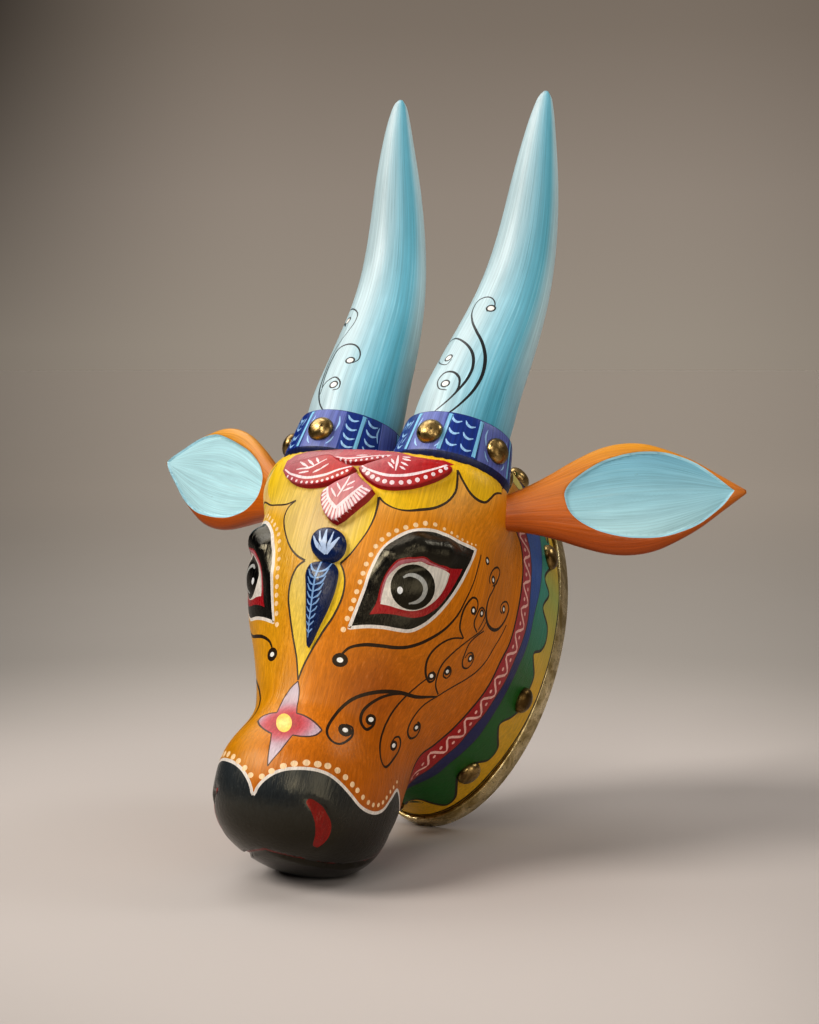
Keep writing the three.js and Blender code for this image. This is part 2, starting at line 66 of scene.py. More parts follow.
def linear(code):
    """A colour written as six hex digits, as linear light."""
    share = [int(code[i:i + 2], 16) / 255 for i in (0, 2, 4)]
    return np.array([c / 12.92 if c <= 0.04045 else ((c + 0.055) / 1.055) ** 2.4 for c in share])


def row_frame(p):
    """Head frame mm as metres in the frame of the CAD."""
    x, w, d = p[..., 0], p[..., 1], p[..., 2]
    s, c = math.sin(LEAN), math.cos(LEAN)
    return np.stack([x, s * w - c * d + FORWARD_SHIFT, c * w + s * d - FOOT_TRIM], -1) / 1000


def row_to_head_way(v):
    """Directions of the CAD's frame as directions of the head frame."""
    x, y, z = np.moveaxis(np.asarray(v, float), -1, 0)
    s, c = math.sin(LEAN), math.cos(LEAN)
    return np.stack([x, s * y + c * z, -c * y + s * z], -1)


def head_frame(p):
    """Metres in the frame of the CAD as head frame mm."""
    return row_to_head_way(p * 1000 - np.array([0, FORWARD_SHIFT, -FOOT_TRIM]))


def unit(v):
    return v / np.maximum(np.linalg.norm(v, axis=-1, keepdims=True), 1e-12)


def curve(t, a, rise_a, b, rise_b):
    """From a to b as t goes from 0 to 1, with those slopes at its ends."""
    return ((2 * t**3 - 3 * t**2 + 1) * a + (t**3 - 2 * t**2 + t) * rise_a
            + (3 * t**2 - 2 * t**3) * b + (t**3 - t**2) * rise_b)


# The carved head is a rounded field, below zero inside the wood.
def station(w):
    """Half width, front, roundness and jaw back at height w."""
    rows = FACE_STATIONS
    w = np.clip(w, rows[0, 0], rows[-1, 0])
    i = np.clip(np.searchsorted(rows[:, 0], w), 1, len(rows) - 1)
    a, b = rows[i - 1], rows[i]
    before, after = rows[np.maximum(0, i - 2)], rows[np.minimum(len(rows) - 1, i + 1)]
    span = b[..., 0] - a[..., 0]
    t = (w - a[..., 0]) / span
    out = []
    for k in range(1, 5):
        rise_a = (b[..., k] - before[..., k]) / (b[..., 0] - before[..., 0]) * span
        rise_b = (after[..., k] - a[..., k]) / (after[..., 0] - a[..., 0]) * span
        out.append(curve(t, a[..., k], rise_a, b[..., k], rise_b))
    return out


def blend(a, b, k):
    """The nearer of two fields, rounded over k mm where they meet."""
    h = np.maximum(k - np.abs(a - b), 0) / k
    return np.minimum(a, b) - h * h * k / 4


def plain_field(p):
    """Skull, muzzle, straight side and horn bosses, before the carving."""
    x, w, d = p[..., 0], p[..., 1], p[..., 2]
    half, front, round_, back = station(w)
    mid = front - round_
    deep = np.where(d > mid, (d - mid) / round_, (mid - d) / np.maximum(30, mid - back))
    over, under = np.maximum(0, w - 178) / 62, np.maximum(0, -10 - w) / 60
    skull = (((np.abs(x) / half)**2.3 + np.abs(deep)**2.3 + over**2.3 + under**2.3)**(1 / 2.3) - 1) * 50
    muzzle = ((np.abs(x / 57)**2.4 + np.abs((w + 42) / 47)**2.4
               + np.abs((d - 188) / 65)**2.4)**(1 / 2.4) - 1) * 50
    flare = 1 + SIDE_FLARE * np.clip(d / SIDE_DEPTH, 0, 1)
    wall = (np.hypot(x / (BACK_HALF_WIDTH * flare), (w - BACK_CENTRE) / BACK_HALF_HEIGHT) - 1) * 90
    end, edge = d - SIDE_DEPTH - 6, 16
    side = (np.minimum(np.maximum(wall + edge, end + edge), 0)
            + np.hypot(np.maximum(wall + edge, 0), np.maximum(end + edge, 0)) - edge)
    boss = ((np.abs((np.abs(x) - 46) / 50)**2.3 + np.abs((w - 196) / 34)**2.3
             + np.abs((d - 180) / 48)**2.3)**(1 / 2.3) - 1) * 40
    f = blend(blend(blend(skull, muzzle, 26), side, 26), boss, 12)
    seat = np.where((w > SEAT_HEIGHT) & (d > SEAT_BACK), np.minimum(w - SEAT_HEIGHT, d - SEAT_BACK), -1e3)
    return np.maximum(f, seat)


def slope(field, p, step=0.4):
    return unit(np.stack([field(p + e) - field(p - e) for e in np.eye(3) * step], -1))


def sausage(p, line, radii):
    """Distance to a round bar of changing thickness along the line."""
    best = np.full(p.shape[:-1], 1e9)
    for a, b, ra, rb in zip(line[:-1], line[1:], radii[:-1], radii[1:]):
        along = b - a
        t = np.clip((p - a) @ along / (along @ along), 0, 1)
        away = np.linalg.norm(p - a - t[..., None] * along, axis=-1) - (ra + (rb - ra) * t)
        best = blend(best, away, 2.0)
    return best


def carried(line, lift):
    """The line's points moved out of the plain surface by lift."""
    line = np.array(line, float)
    return line + slope(plain_field, line) * lift


EYE = np.array([66.5, 111, 225.0])
EYE_SIZE = (25, 17, 12)
EYE_REACH, CUTS_BELOW, CUTS_AHEAD = 75, -30, 100
EYE_OUT = slope(plain_field, EYE)
EYE_LONG = unit(np.array([0.72, 0.55, -0.35]) - EYE_OUT * (np.array([0.72, 0.55, -0.35]) @ EYE_OUT))
EYE_AXES = np.stack([EYE_LONG, np.cross(EYE_OUT, EYE_LONG), EYE_OUT], -1)
BROW = carried([[36, 84, 236], [43, 108, 238], [54, 127, 238], [67, 138, 231],
                [80, 143, 215], [88, 147, 199]], -4)
BROW_RADII = (3, 7, 10, 10.5, 8.5, 3)
NOSTRIL = carried([[36, -53, 242], [44, -57, 231], [48, -65, 220], [45, -74, 215], [35, -79, 215]], 1.2)
NOSTRIL_RADII = (1.6, 4.2, 5, 4, 1.6)
MOUTH = carried([[0, -88, 222], [20, -86, 206], [34, -83, 187], [45, -73, 162], [50, -60, 140]], 0.8)
MOUTH_RADII = (2.4,) * 5


def near_carving(p):
    """The places brought to the cow's left; which are near the eye; which are near nostril and mouth."""
    q = np.stack([np.abs(p[..., 0]), p[..., 1], p[..., 2]], -1)
    low = (q[..., 1] < CUTS_BELOW) & (q[..., 2] > CUTS_AHEAD)
    return q, np.linalg.norm(q - EYE, axis=-1) < EYE_REACH, low


def carved_field(p):
    """The plain head with brows and eyeballs raised, nostrils and mouth cut in."""
    f = plain_field(p)
    q, near, low = near_carving(p)
    if near.any():
        e = (q[near] - (EYE - EYE_OUT * 8.5)) @ EYE_AXES
        ball = (np.linalg.norm(e / np.array(EYE_SIZE), axis=-1) - 1) * 12
        f[near] = blend(blend(f[near], ball, 2.5), sausage(q[near], BROW, BROW_RADII), 5)
    if low.any():
        cut = np.minimum(sausage(q[low], NOSTRIL, NOSTRIL_RADII), sausage(q[low], MOUTH, MOUTH_RADII))
        f[low] = -blend(-f[low], cut, 1.5)
    return f


# The head is charted flat by the angle from straight ahead, seen from the heart.
def chart(p):
    """Head frame places as chart points."""
    v = unit(p - HEART)
    turn = np.arccos(np.clip(v[..., 2], -1, 1))
    round_ = np.maximum(np.hypot(v[..., 0], v[..., 1]), 1e-9)
    return np.stack([v[..., 0] / round_ * turn, v[..., 1] / round_ * turn], -1)


def heading(q):
    """The direction from the heart to a chart point."""
    turn = np.linalg.norm(q, axis=-1)
    share = np.sinc(turn / math.pi)
    return np.stack([q[..., 0] * share, q[..., 1] * share, np.cos(turn)], -1)


def first_hit(field, start, way, length, steps):
    """Where rays from start first enter the wood, in mm along them."""
    hit = np.full(way.shape[:-1], float(length))
    open_ = np.ones(hit.shape, bool)
    for k in range(1, steps + 1):
        at = length * k / steps
        inside = np.zeros(hit.shape, bool)
        inside[open_] = field((start + way * at)[open_]) < 0
        hit[inside] = at
        open_ &= ~inside
        if not open_.any():
            break
    low, high = hit - length / steps, hit.copy()
    for _ in range(16):
        mid = (low + high) / 2
        inside = field(start + way * mid[..., None]) < 0
        high, low = np.where(inside, mid, high), np.where(inside, low, mid)
    return high


def head_skin(q):
    """Chart point to the carved surface."""
    q = np.asarray(q, float)
    way = heading(q)
    reach = 330 - first_hit(plain_field, HEART + way * 330, -way, 320, 50)
    place = HEART + way * reach[..., None]
    _, near, low = near_carving(place)
    near |= low
    if near.any():
        start = HEART + way[near] * (reach[near] + 24)[..., None]
        place[near] = start - way[near] * first_hit(carved_field, start, -way[near], 40, 34)[..., None]
    return place


CAMERA_AT = head_frame(np.array(CAMERA_PLACE))
# A ray through the photograph is followed from this many mm before the camera, and this far
VIEW_START, VIEW_LENGTH, VIEW_STEPS, VIEW_SEARCH = 1250, 620, 240, 600


def photo_ray(px):
    """Directions in the head frame of the rays through the photograph's pixels."""
    px = np.asarray(px, float)
    a, p = CAMERA_YAW, CAMERA_PITCH
    ahead = np.array([-math.sin(a) * math.cos(p), math.cos(a) * math.cos(p), -math.sin(p)])
    right = np.array([math.cos(a), math.sin(a), 0])
    up = np.cross(right, ahead)
    way = (ahead * PHOTO_FOCAL + (px[..., 0:1] - PHOTO_SIZE[0] / 2) * right
           - (px[..., 1:2] - PHOTO_SIZE[1] / 2) * up)
    return unit(row_to_head_way(way))


def seen(px):
    """The photograph's pixels as chart points on the head; one past its outline goes to the nearest edge."""
    way = photo_ray(px)
    start = CAMERA_AT + way * VIEW_START
    reach = first_hit(carved_field, start, way, VIEW_LENGTH, VIEW_STEPS)
    missed = reach > VIEW_SEARCH
    if missed.any():
        along = np.linspace(0, VIEW_SEARCH, 201)
        gap = plain_field(start[missed][:, None] + way[missed][:, None] * along[:, None])
        reach[missed] = along[np.argmin(gap, axis=1)]
    return chart(start + way * reach[..., None])


def smooth_line(points, closed=False, step=0.012):
    """A smooth line through the points, in even steps."""
    p = np.asarray(points, float)
    n = len(p)
    if closed:
        p = np.concatenate([p[-1:], p, p[:2]])
    else:
        p = np.concatenate([2 * p[:1] - p[1:2], p, 2 * p[-1:] - p[-2:-1]])
    rows = []
    for i in range(1, len(p) - 2):
        a, b, c, d = p[i - 1], p[i], p[i + 1], p[i + 2]
        k0, k1, k2 = (max(1e-6, float(np.linalg.norm(v)))**0.5 for v in (b - a, c - b, d - c))
        t = np.linspace(0, 1, 12, endpoint=False)[:, None]
        m1 = (c - b) + k1 * ((b - a) / k0 - (c - a) / (k0 + k1))
        m2 = (c - b) + k1 * ((d - c) / k2 - (d - b) / (k1 + k2))
        rows.append(curve(t, b, m1, c, m2))
    if not closed:
        rows.append(p[-2:-1])
    line = np.concatenate(rows)
    if closed:
        line = np.concatenate([line, line[:1]])
    run = np.concatenate([[0], np.cumsum(np.linalg.norm(np.diff(line, axis=0), axis=1))])
    count = max(3 if not closed else 6, int(round(run[-1] / step)) + 1)
    at = np.linspace(0, run[-1], count)
    line = np.stack([np.interp(at, run, line[:, k]) for k in range(line.shape[1])], -1)
    return line[:-1] if closed else line


def onto_photo(p):
    """Head frame points as pixels of the photograph."""
    v = p - CAMERA_AT
    ways = photo_ray(np.array([[PHOTO_SIZE[0] / 2, PHOTO_SIZE[1] / 2], [1e7, PHOTO_SIZE[1] / 2],
                               [PHOTO_SIZE[0] / 2, -1e7]]))
    deep = v @ ways[0]
    return np.stack([PHOTO_SIZE[0] / 2 + PHOTO_FOCAL * (v @ ways[1]) / deep,
                     PHOTO_SIZE[1] / 2 - PHOTO_FOCAL * (v @ ways[2]) / deep], -1)


class Rows:
    """Chart points kept in rows, so that the ones in a closed line are found quickly."""

    def __init__(self, points):
        self.order = np.argsort(points[:, 1], kind="stable")
        self.x, self.y = points[self.order].T.copy()

    def inside(self, ring):
        odd = np.zeros(len(self.x), bool)
        nxt = np.roll(ring, -1, 0)
        low = np.searchsorted(self.y, np.minimum(ring[:, 1], nxt[:, 1]))
        high = np.searchsorted(self.y, np.maximum(ring[:, 1], nxt[:, 1]))
        for (ax, ay), (bx, by), i, j in zip(ring, nxt, low, high):
            if j > i:
                odd[i:j] ^= self.x[i:j] < ax + (self.y[i:j] - ay) / (by - ay) * (bx - ax)
        out = np.zeros(len(odd), bool)
        out[self.order] = odd
        return out


def inside(points, ring):
    """Which chart points lie in the closed line."""
    return Rows(points).inside(ring)


def line_distance(points, ring):
    """Distance from each point to the closed line."""
    best = np.full(len(points), 1e9)
    for a, b in zip(ring, np.roll(ring, -1, 0)):
        along = b - a
        t = np.clip((points - a) @ along / max(along @ along, 1e-18), 0, 1)
        best = np.minimum(best, np.linalg.norm(points - a - t[:, None] * along, axis=1))
    return best


class Sheet:
    """A painted surface: closed lines on its flat chart, later ones on top, cut into one skin."""

    def __init__(self, skin, edge, ground, step):
        self.skin, self.step, self.mirrored = skin, step, False
        self.marks = [("area", np.asarray(edge, float), ground, None)]
        self.raised = []

    def add(self, kind, line, paint, wide=None):
        """A mark of that kind (area, stroke or dot), and its mirror image while the sheet is mirrored."""
        line = np.atleast_2d(np.asarray(line, float))
        self.marks.append((kind, line, paint, wide))
        if self.mirrored:
            self.marks.append((kind, line * (-1, 1), paint, wide))

    def stroke(self, line, paint, wide, step=0.012, smooth=True):
        """A brush line; wide is one width in mm or the widths along it."""
        line = smooth_line(line, False, step) if smooth else line
        wide = np.atleast_1d(np.asarray(wide, float))
        share = np.linspace(0, 1, len(line))
        self.add("stroke", line, paint, np.interp(share, np.linspace(0, 1, len(wide)), wide))

    def dot(self, at, paint, radius, long_=1.0, sides=12):
        """A round or oval spot of paint, radius in mm."""
        for q in np.atleast_2d(np.asarray(at, float)):
            self.add("dot", q, paint, (radius, long_, sides))

    def inset(self, ring, mm):
        """The closed line moved inward by mm on the surface."""
        place, run_u, run_v = self.spread(ring, self.step)
        loop = np.concatenate([place[-1:], place, place[:1]])
        along = unit(loop[2:] - loop[:-2])
        side = np.cross(unit(np.cross(run_u, run_v)), along)
        off = np.einsum("nij,nj->ni", np.linalg.pinv(np.stack([run_u, run_v], -1)), side)
        x, y = ring[:, 0], ring[:, 1]
        turn = np.sign(np.sum(x * np.roll(y, -1) - y * np.roll(x, -1)))
        return ring + off * turn * mm

    def carve(self, ring, rise, crown, edge, top, wall=0.7):
        """Raise the area by rise, and its middle by crown more; its wall and top have their own paint."""
        self.marks += [("area", ring, edge, None), ("area", self.inset(ring, wall), top, None)]
        self.raised.append((ring, rise, crown, wall, self.inset(ring, wall * 3)))

    def spread(self, q, step=1e-4):
        """How the surface runs for a small move on the chart: place, and the two slopes."""
        q = np.asarray(q, float)
        e, f = np.array([step, 0]), np.array([0, step])
        n = len(q)
        p = self.skin(np.concatenate([q, q + e, q - e, q + f, q - f]))
        return p[:n], (p[n:2 * n] - p[2 * n:3 * n]) / (2 * step), (p[3 * n:4 * n] - p[4 * n:]) / (2 * step)

    def rings(self):
        """Every mark as a closed line on the chart."""
        want = [m[1] for m in self.marks if m[0] != "area"]
        at = np.cumsum([0] + [len(w) for w in want])
        found = iter([])
        if want:
            place, run_u, run_v = self.spread(np.concatenate(want), self.step)
            pull = np.stack([run_u, run_v], -1)
            back = np.linalg.pinv(pull)
            out = unit(np.cross(run_u, run_v))
            found = iter([(place[a:b], back[a:b], pull[a:b], out[a:b]) for a, b in zip(at, at[1:])])
        rings = []
        for kind, line, paint, wide in self.marks:
            if kind == "area":
                rings.append((line, paint))
                continue
            place, back, pull, out = next(found)
            if kind == "dot":
                radius, long_, sides = wide
                a = np.arange(sides) / sides * 2 * math.pi
                first = unit(pull[0][:, 0])
                second = np.cross(out[0], first)
                off = (np.outer(np.cos(a), first) * long_ + np.outer(np.sin(a), second)) * radius
                rings.append((line[0] + off @ back[0].T, paint))
            else:
                along = unit(np.gradient(place, axis=0))
                side = np.cross(out, along) * (wide / 2)[:, None]
                off = np.einsum("nij,nj->ni", back, side)
                rings.append((np.concatenate([line + off, (line - off)[::-1]]), paint))
        return rings

    def build(self, loose, closeness):
        """The skin: points, triangles, the paint of every corner, and the points on the chart."""
        rings = self.rings()
        walls = [row[4] for row in self.raised]
        lines = [r for r, _ in rings] + walls
        fixed = np.concatenate(lines)
        tree = point_tree(fixed)
        keep = [tree.find((p[0], p[1], 0))[2] > closeness for p in loose]
        keep = np.array(keep) & inside(loose, rings[0][0])
        loose = loose[keep]
        edges, start = [], 0
        for line in lines:
            n = len(line)
            edges += [(start + i, start + (i + 1) % n) for i in range(n)]
            start += n
        points = np.concatenate([fixed, loose])
        flat, _, faces = delaunay_2d_cdt([Vector(p) for p in points], edges, [], 1, 1e-7, False)[:3]
        flat = np.array([tuple(p) for p in flat])
        faces = np.array([f for f in faces if len(f) == 3])
        middle = flat[faces].mean(1)
        kept = inside(middle, rings[0][0])
        faces, middle = faces[kept], middle[kept]
        paint = np.zeros(len(faces), int)
        names = [rings[0][1]]
        rows = Rows(middle)
        for ring, word in rings[1:]:
            if word not in names:
                names.append(word)
            paint[rows.inside(ring)] = names.index(word)
        place = self.skin(flat)
        total = np.zeros(len(place))
        way = np.zeros_like(place)
        for ring, rise, crown, wall, _ in self.raised:
            low, high = ring.min(0), ring.max(0)
            near = np.where(((flat >= low) & (flat <= high)).all(1))[0]
            near = near[inside(flat[near], ring)]
            _, run_u, run_v = self.spread(flat[near], self.step)
            out = np.cross(run_u, run_v)
            size = np.sqrt(np.linalg.norm(out, axis=1))
            away = line_distance(flat[near], ring) * size
            height = rise * np.clip(away / wall, 0, 1)**0.6 + crown * np.clip(away / away.max(), 0, 1)**0.7
            height[away < 0.02] = 0
            more = np.abs(height) > np.abs(total[near])
            total[near[more]], way[near[more]] = height[more], unit(out[more])
        place = place + way * total[:, None]
        colour = np.zeros((len(faces), 3, 4))
        for i, word in enumerate(names):
            mine = paint == i
            shade = PALETTE[word]
            corner = place[faces[mine]]
            colour[mine, :, :3] = shade[0](corner) if callable(shade[0]) else linear(shade[0])
            colour[mine, :, 3] = shade[1]
        return place, faces, colour, flat


def point_tree(points):
    """Chart points kept so that the nearest one is found quickly."""
    tree = KDTree(len(points))
    for i, p in enumerate(points):
        tree.insert((p[0], p[1], 0), i)
    tree.balance()
    return tree


def corners(lines, step=0.012):
    """Smooth lines joined end to end, with a corner at each join."""
    out = [smooth_line(line, False, step) for line in lines]
    return np.concatenate([line[:-1] if np.allclose(line[-1], nxt[0]) else line
                           for line, nxt in zip(out, out[1:] + out[:1])])


def half(line):
    """A line on the cow's left, from the middle to the middle, closed by its mirror image."""
    line = np.array(line, float)
    line[0, 0] = line[-1, 0] = 0
    return np.concatenate([line, (line * (-1, 1))[-2:0:-1]])


def side_place(turn, deep):
    """Places on the side wall by the turn from the top, in degrees, and the depth, as chart points."""
    turn, deep = np.broadcast_arrays(np.radians(np.asarray(turn, float)), np.asarray(deep, float))
    axis = np.stack([turn * 0, turn * 0 + BACK_CENTRE, deep], -1)
    way = unit(np.stack([BACK_HALF_WIDTH * np.sin(turn), BACK_HALF_HEIGHT * np.cos(turn), turn * 0], -1))
    reach = 230 - first_hit(plain_field, axis + way * 230, -way, 225, 110)
    return chart(axis + way * reach[..., None])


def side_read(px):
    """Turn and depth on the side wall of the photograph's pixels."""
    q = seen(px)
    p = head_skin(q)
    turn = np.arctan2(p[:, 0] / BACK_HALF_WIDTH, (p[:, 1] - BACK_CENTRE) / BACK_HALF_HEIGHT)
    return np.degrees(turn), p[:, 2]


# Borders of the painted bands on the side, in the photograph's pixels
BODY_EDGE = [(515.6, 528), (520.4, 543), (522.7, 558), (522.9, 573), (520.4, 597), (515.6, 621.6),
             (509.5, 643.5), (501, 660.5), (489, 685), (477, 702), (462.3, 719), (447.8, 733.5),
             (433.3, 745.7), (418.7, 757.8)]
RED_EDGE = [(525, 527), (530, 550), (531.5, 573), (530, 597), (527.7, 621.6), (521.6, 643.5),
            (515.6, 658), (506, 680), (496, 697), (484, 715), (472, 728.7), (457.5, 745.7), (443, 757.8),
            (428.4, 770), (413.9, 779.7)]
BLUE_EDGE = [(541, 545), (542, 570), (539, 595), (534, 616), (530, 636), (525.3, 650.7), (519.2, 665.3),
             (512, 681), (501, 702), (489, 721.4), (477, 738.4), (462.3, 753), (447.8, 765), (435.7, 775),
             (418.7, 783.4)]
GREEN_EDGE = [(546.8, 536), (551, 552), (551, 566.7), (545, 579), (549, 594), (543, 608), (547.2, 626),
              (546, 641), (541, 650.5), (533.5, 654), (533.5, 664), (534, 675), (529, 690), (521, 708),
              (511.6, 717), (499.5, 724.5), (497.8, 736), (497.8, 747), (488.7, 759.6), (476, 763),
              (460, 772), (456.5, 784), (455, 797), (446, 805), (432, 803), (421, 799.5), (410, 802)]


def side_rows(px, top, foot):
    """Turn and depth along one border on the cow's left, from the crown to the foot."""
    return np.concatenate([top, np.stack(side_read(px), -1), foot])


def round_line(rows):
    """A border closed round the side by its mirror image, as a chart line."""
    return smooth_line(half(side_place(rows[:, 0], rows[:, 1])), True)


# The rest of the head's painting, in the photograph's pixels, on the cow's left or on the middle line
SEEN_LINES = {
    "muzzle": [(254.5, 795), (256.4, 789), (261.8, 781.8), (272.7, 773.6), (285.5, 769.2), (301.8, 768.3),
               (316.4, 770), (329, 774.6), (340, 783), (351, 795), (360, 806), (369, 811.8), (376.4, 813),
               (383.6, 809.5), (391, 799), (397.3, 790)],
    "muzzle_dots": [(261.8, 776.4), (271.5, 771), (283.3, 766), (294.2, 763.6), (306.4, 762.7),
                    (317.8, 764.2), (327.8, 766), (337.6, 770.5), (345.5, 777.3), (352.4, 784.5),
                    (357.5, 790.4), (363, 797.3), (368.4, 802.5), (373.3, 805), (378.5, 805),
                    (383, 802.4), (386.7, 797.6), (390.4, 791.8), (393.6, 787.3), (397, 782)],
    "nostril": [(306.4, 801), (311, 798.8), (318, 802.7), (325.5, 811), (330.5, 821), (330.5, 832.7),
                (325.5, 841.5), (316.4, 847.5), (313.2, 846), (315, 835), (315, 823.6), (311.3, 812)],
    "eye_lower": [(349, 628), (356.4, 609), (364.8, 587.2), (371, 569), (379, 553.5), (391, 541),
                  (405.5, 533), (422, 529.8), (434.5, 530.8), (446.3, 535.2), (461, 542.8), (475.8, 550)],
    "eye_upper": [(475.8, 550), (473.3, 557), (465.5, 574), (455.7, 591), (445, 605.5), (433, 618),
                  (421.3, 626.5), (409.5, 631), (397.9, 630), (384.5, 627.6), (367, 626.5), (349, 628)],
    "lid_lower": [(369.4, 614.5), (376, 603), (380.9, 584.8), (387, 571.5), (395.4, 561.3),
                  (406.3, 557.4), (417.2, 557), (429.4, 559.4), (442.7, 565.5), (451.2, 568.4),
                  (462.5, 569)],
    "lid_upper": [(462.5, 569), (458.4, 577.5), (450, 592), (439, 606.2), (427, 614.7), (417.2, 617.6),
                  (407.5, 617.3), (395.4, 614.8), (382, 613.6), (369.4, 614.5)],
    "lid_highlight_lower": [(379.5, 601.5), (382.2, 586), (387.5, 573.5), (395.8, 563.3), (406.5, 559.2),
                   (417.2, 558.8), (429, 561.4), (440, 566.5), (449, 570.6)],
    "lid_highlight_upper": [(449, 570.6), (440, 569), (432, 565), (424, 562.2), (412.4, 561.6), (398.5, 566),
                   (389, 575.6), (383.6, 588.5), (381, 601), (379.5, 601.5)],
    "white_lower": [(380.3, 604), (383.3, 589.7), (388.2, 576.3), (397.9, 566.6), (412.4, 562.4),
                    (424.5, 563), (436.6, 567.2), (446.3, 571.2), (449.8, 573.9)],
    "white_upper": [(449.8, 573.9), (446.3, 584.8), (439, 596.9), (429.4, 605.4), (419.7, 609.9),
                    (410, 611), (397.9, 608.6), (390, 606), (380.3, 604)],
    "crescent": [(403.3, 577.5), (408.8, 575), (416, 576), (422.7, 581), (425.5, 588.5), (423.3, 596.3),
                 (417.8, 601.5), (408.8, 603.8)],
    "eye_dots": [(475.8, 545), (471.7, 544), (467.5, 542), (462.5, 539.6), (457.5, 536.4), (451.7, 532.8),
                 (444.5, 529), (435.3, 524.5), (425.5, 523.3), (415.8, 525), (405.8, 527.4),
                 (396.7, 530.6), (388.8, 534.5), (382, 539.5), (375.8, 546.3), (371, 554.7), (366.3, 564),
                 (363, 573.3), (360, 582), (356.7, 591.7), (353.8, 600.3), (351, 608.7), (347.3, 618.5),
                 (343.3, 629.5)],
    "lobe_side": [(379, 497), (385, 503.2), (396, 508.6), (408, 510.6), (424, 509.4), (440, 506),
                  (449.5, 500), (455.5, 492), (457.3, 481), (457.5, 470)],
    "lobe_ear": [(457.5, 470), (462.5, 480), (470, 492.5), (478, 500), (485.8, 502.3), (491, 498),
                 (495, 494), (501.5, 493.5)],
    "lobe_brow": [(379, 497), (377.5, 506), (374, 518), (367.5, 531), (359, 543), (349.5, 555),
                  (340.5, 563.5)],
    "lobe_nose": [(340.5, 563.5), (343.5, 571), (344.8, 581), (342.5, 596), (334, 615), (322, 633),
                  (311.5, 650.5), (303, 667), (298, 680)],
    "lobe_nose_right": [(305, 560.5), (297, 567), (291, 580), (288.5, 596), (289.7, 613), (292.8, 636),
                        (296.4, 657), (298, 680)],
    "lobe_brow_right": [(296, 500.5), (288, 508), (284.2, 518), (284.8, 530), (289.7, 546), (297, 555.5),
                        (305, 560.5)],
    "lobe_side_right": [(257, 503), (264, 504.6), (274, 505.2), (286, 504.4), (296, 500.5)],
}
FLOWER_TIPS = [
    [(277, 712.5), (279.2, 707.6), (283.6, 698.7), (290.2, 688.8), (298, 681), (299.2, 688.8),
     (298.6, 698.7), (297.1, 706.5), (296.7, 713.1)],
    [(296.7, 713.1), (303.5, 715.3), (312.3, 720.3), (319, 726.4), (322, 730.2), (316.8, 734.6),
     (310.1, 736.3), (301.3, 736.3), (292.5, 735)],
    [(292.5, 735), (288, 740.7), (280.3, 750.7), (272.6, 759.5), (267.6, 766.1), (267.9, 758.4),
     (268.7, 751.8), (270.4, 741.8), (271.5, 733.5)],
    [(271.5, 733.5), (264.8, 729.7), (259.3, 724.7), (257.9, 720.8), (261.5, 717), (269.3, 713.6),
     (277, 712.5)]]
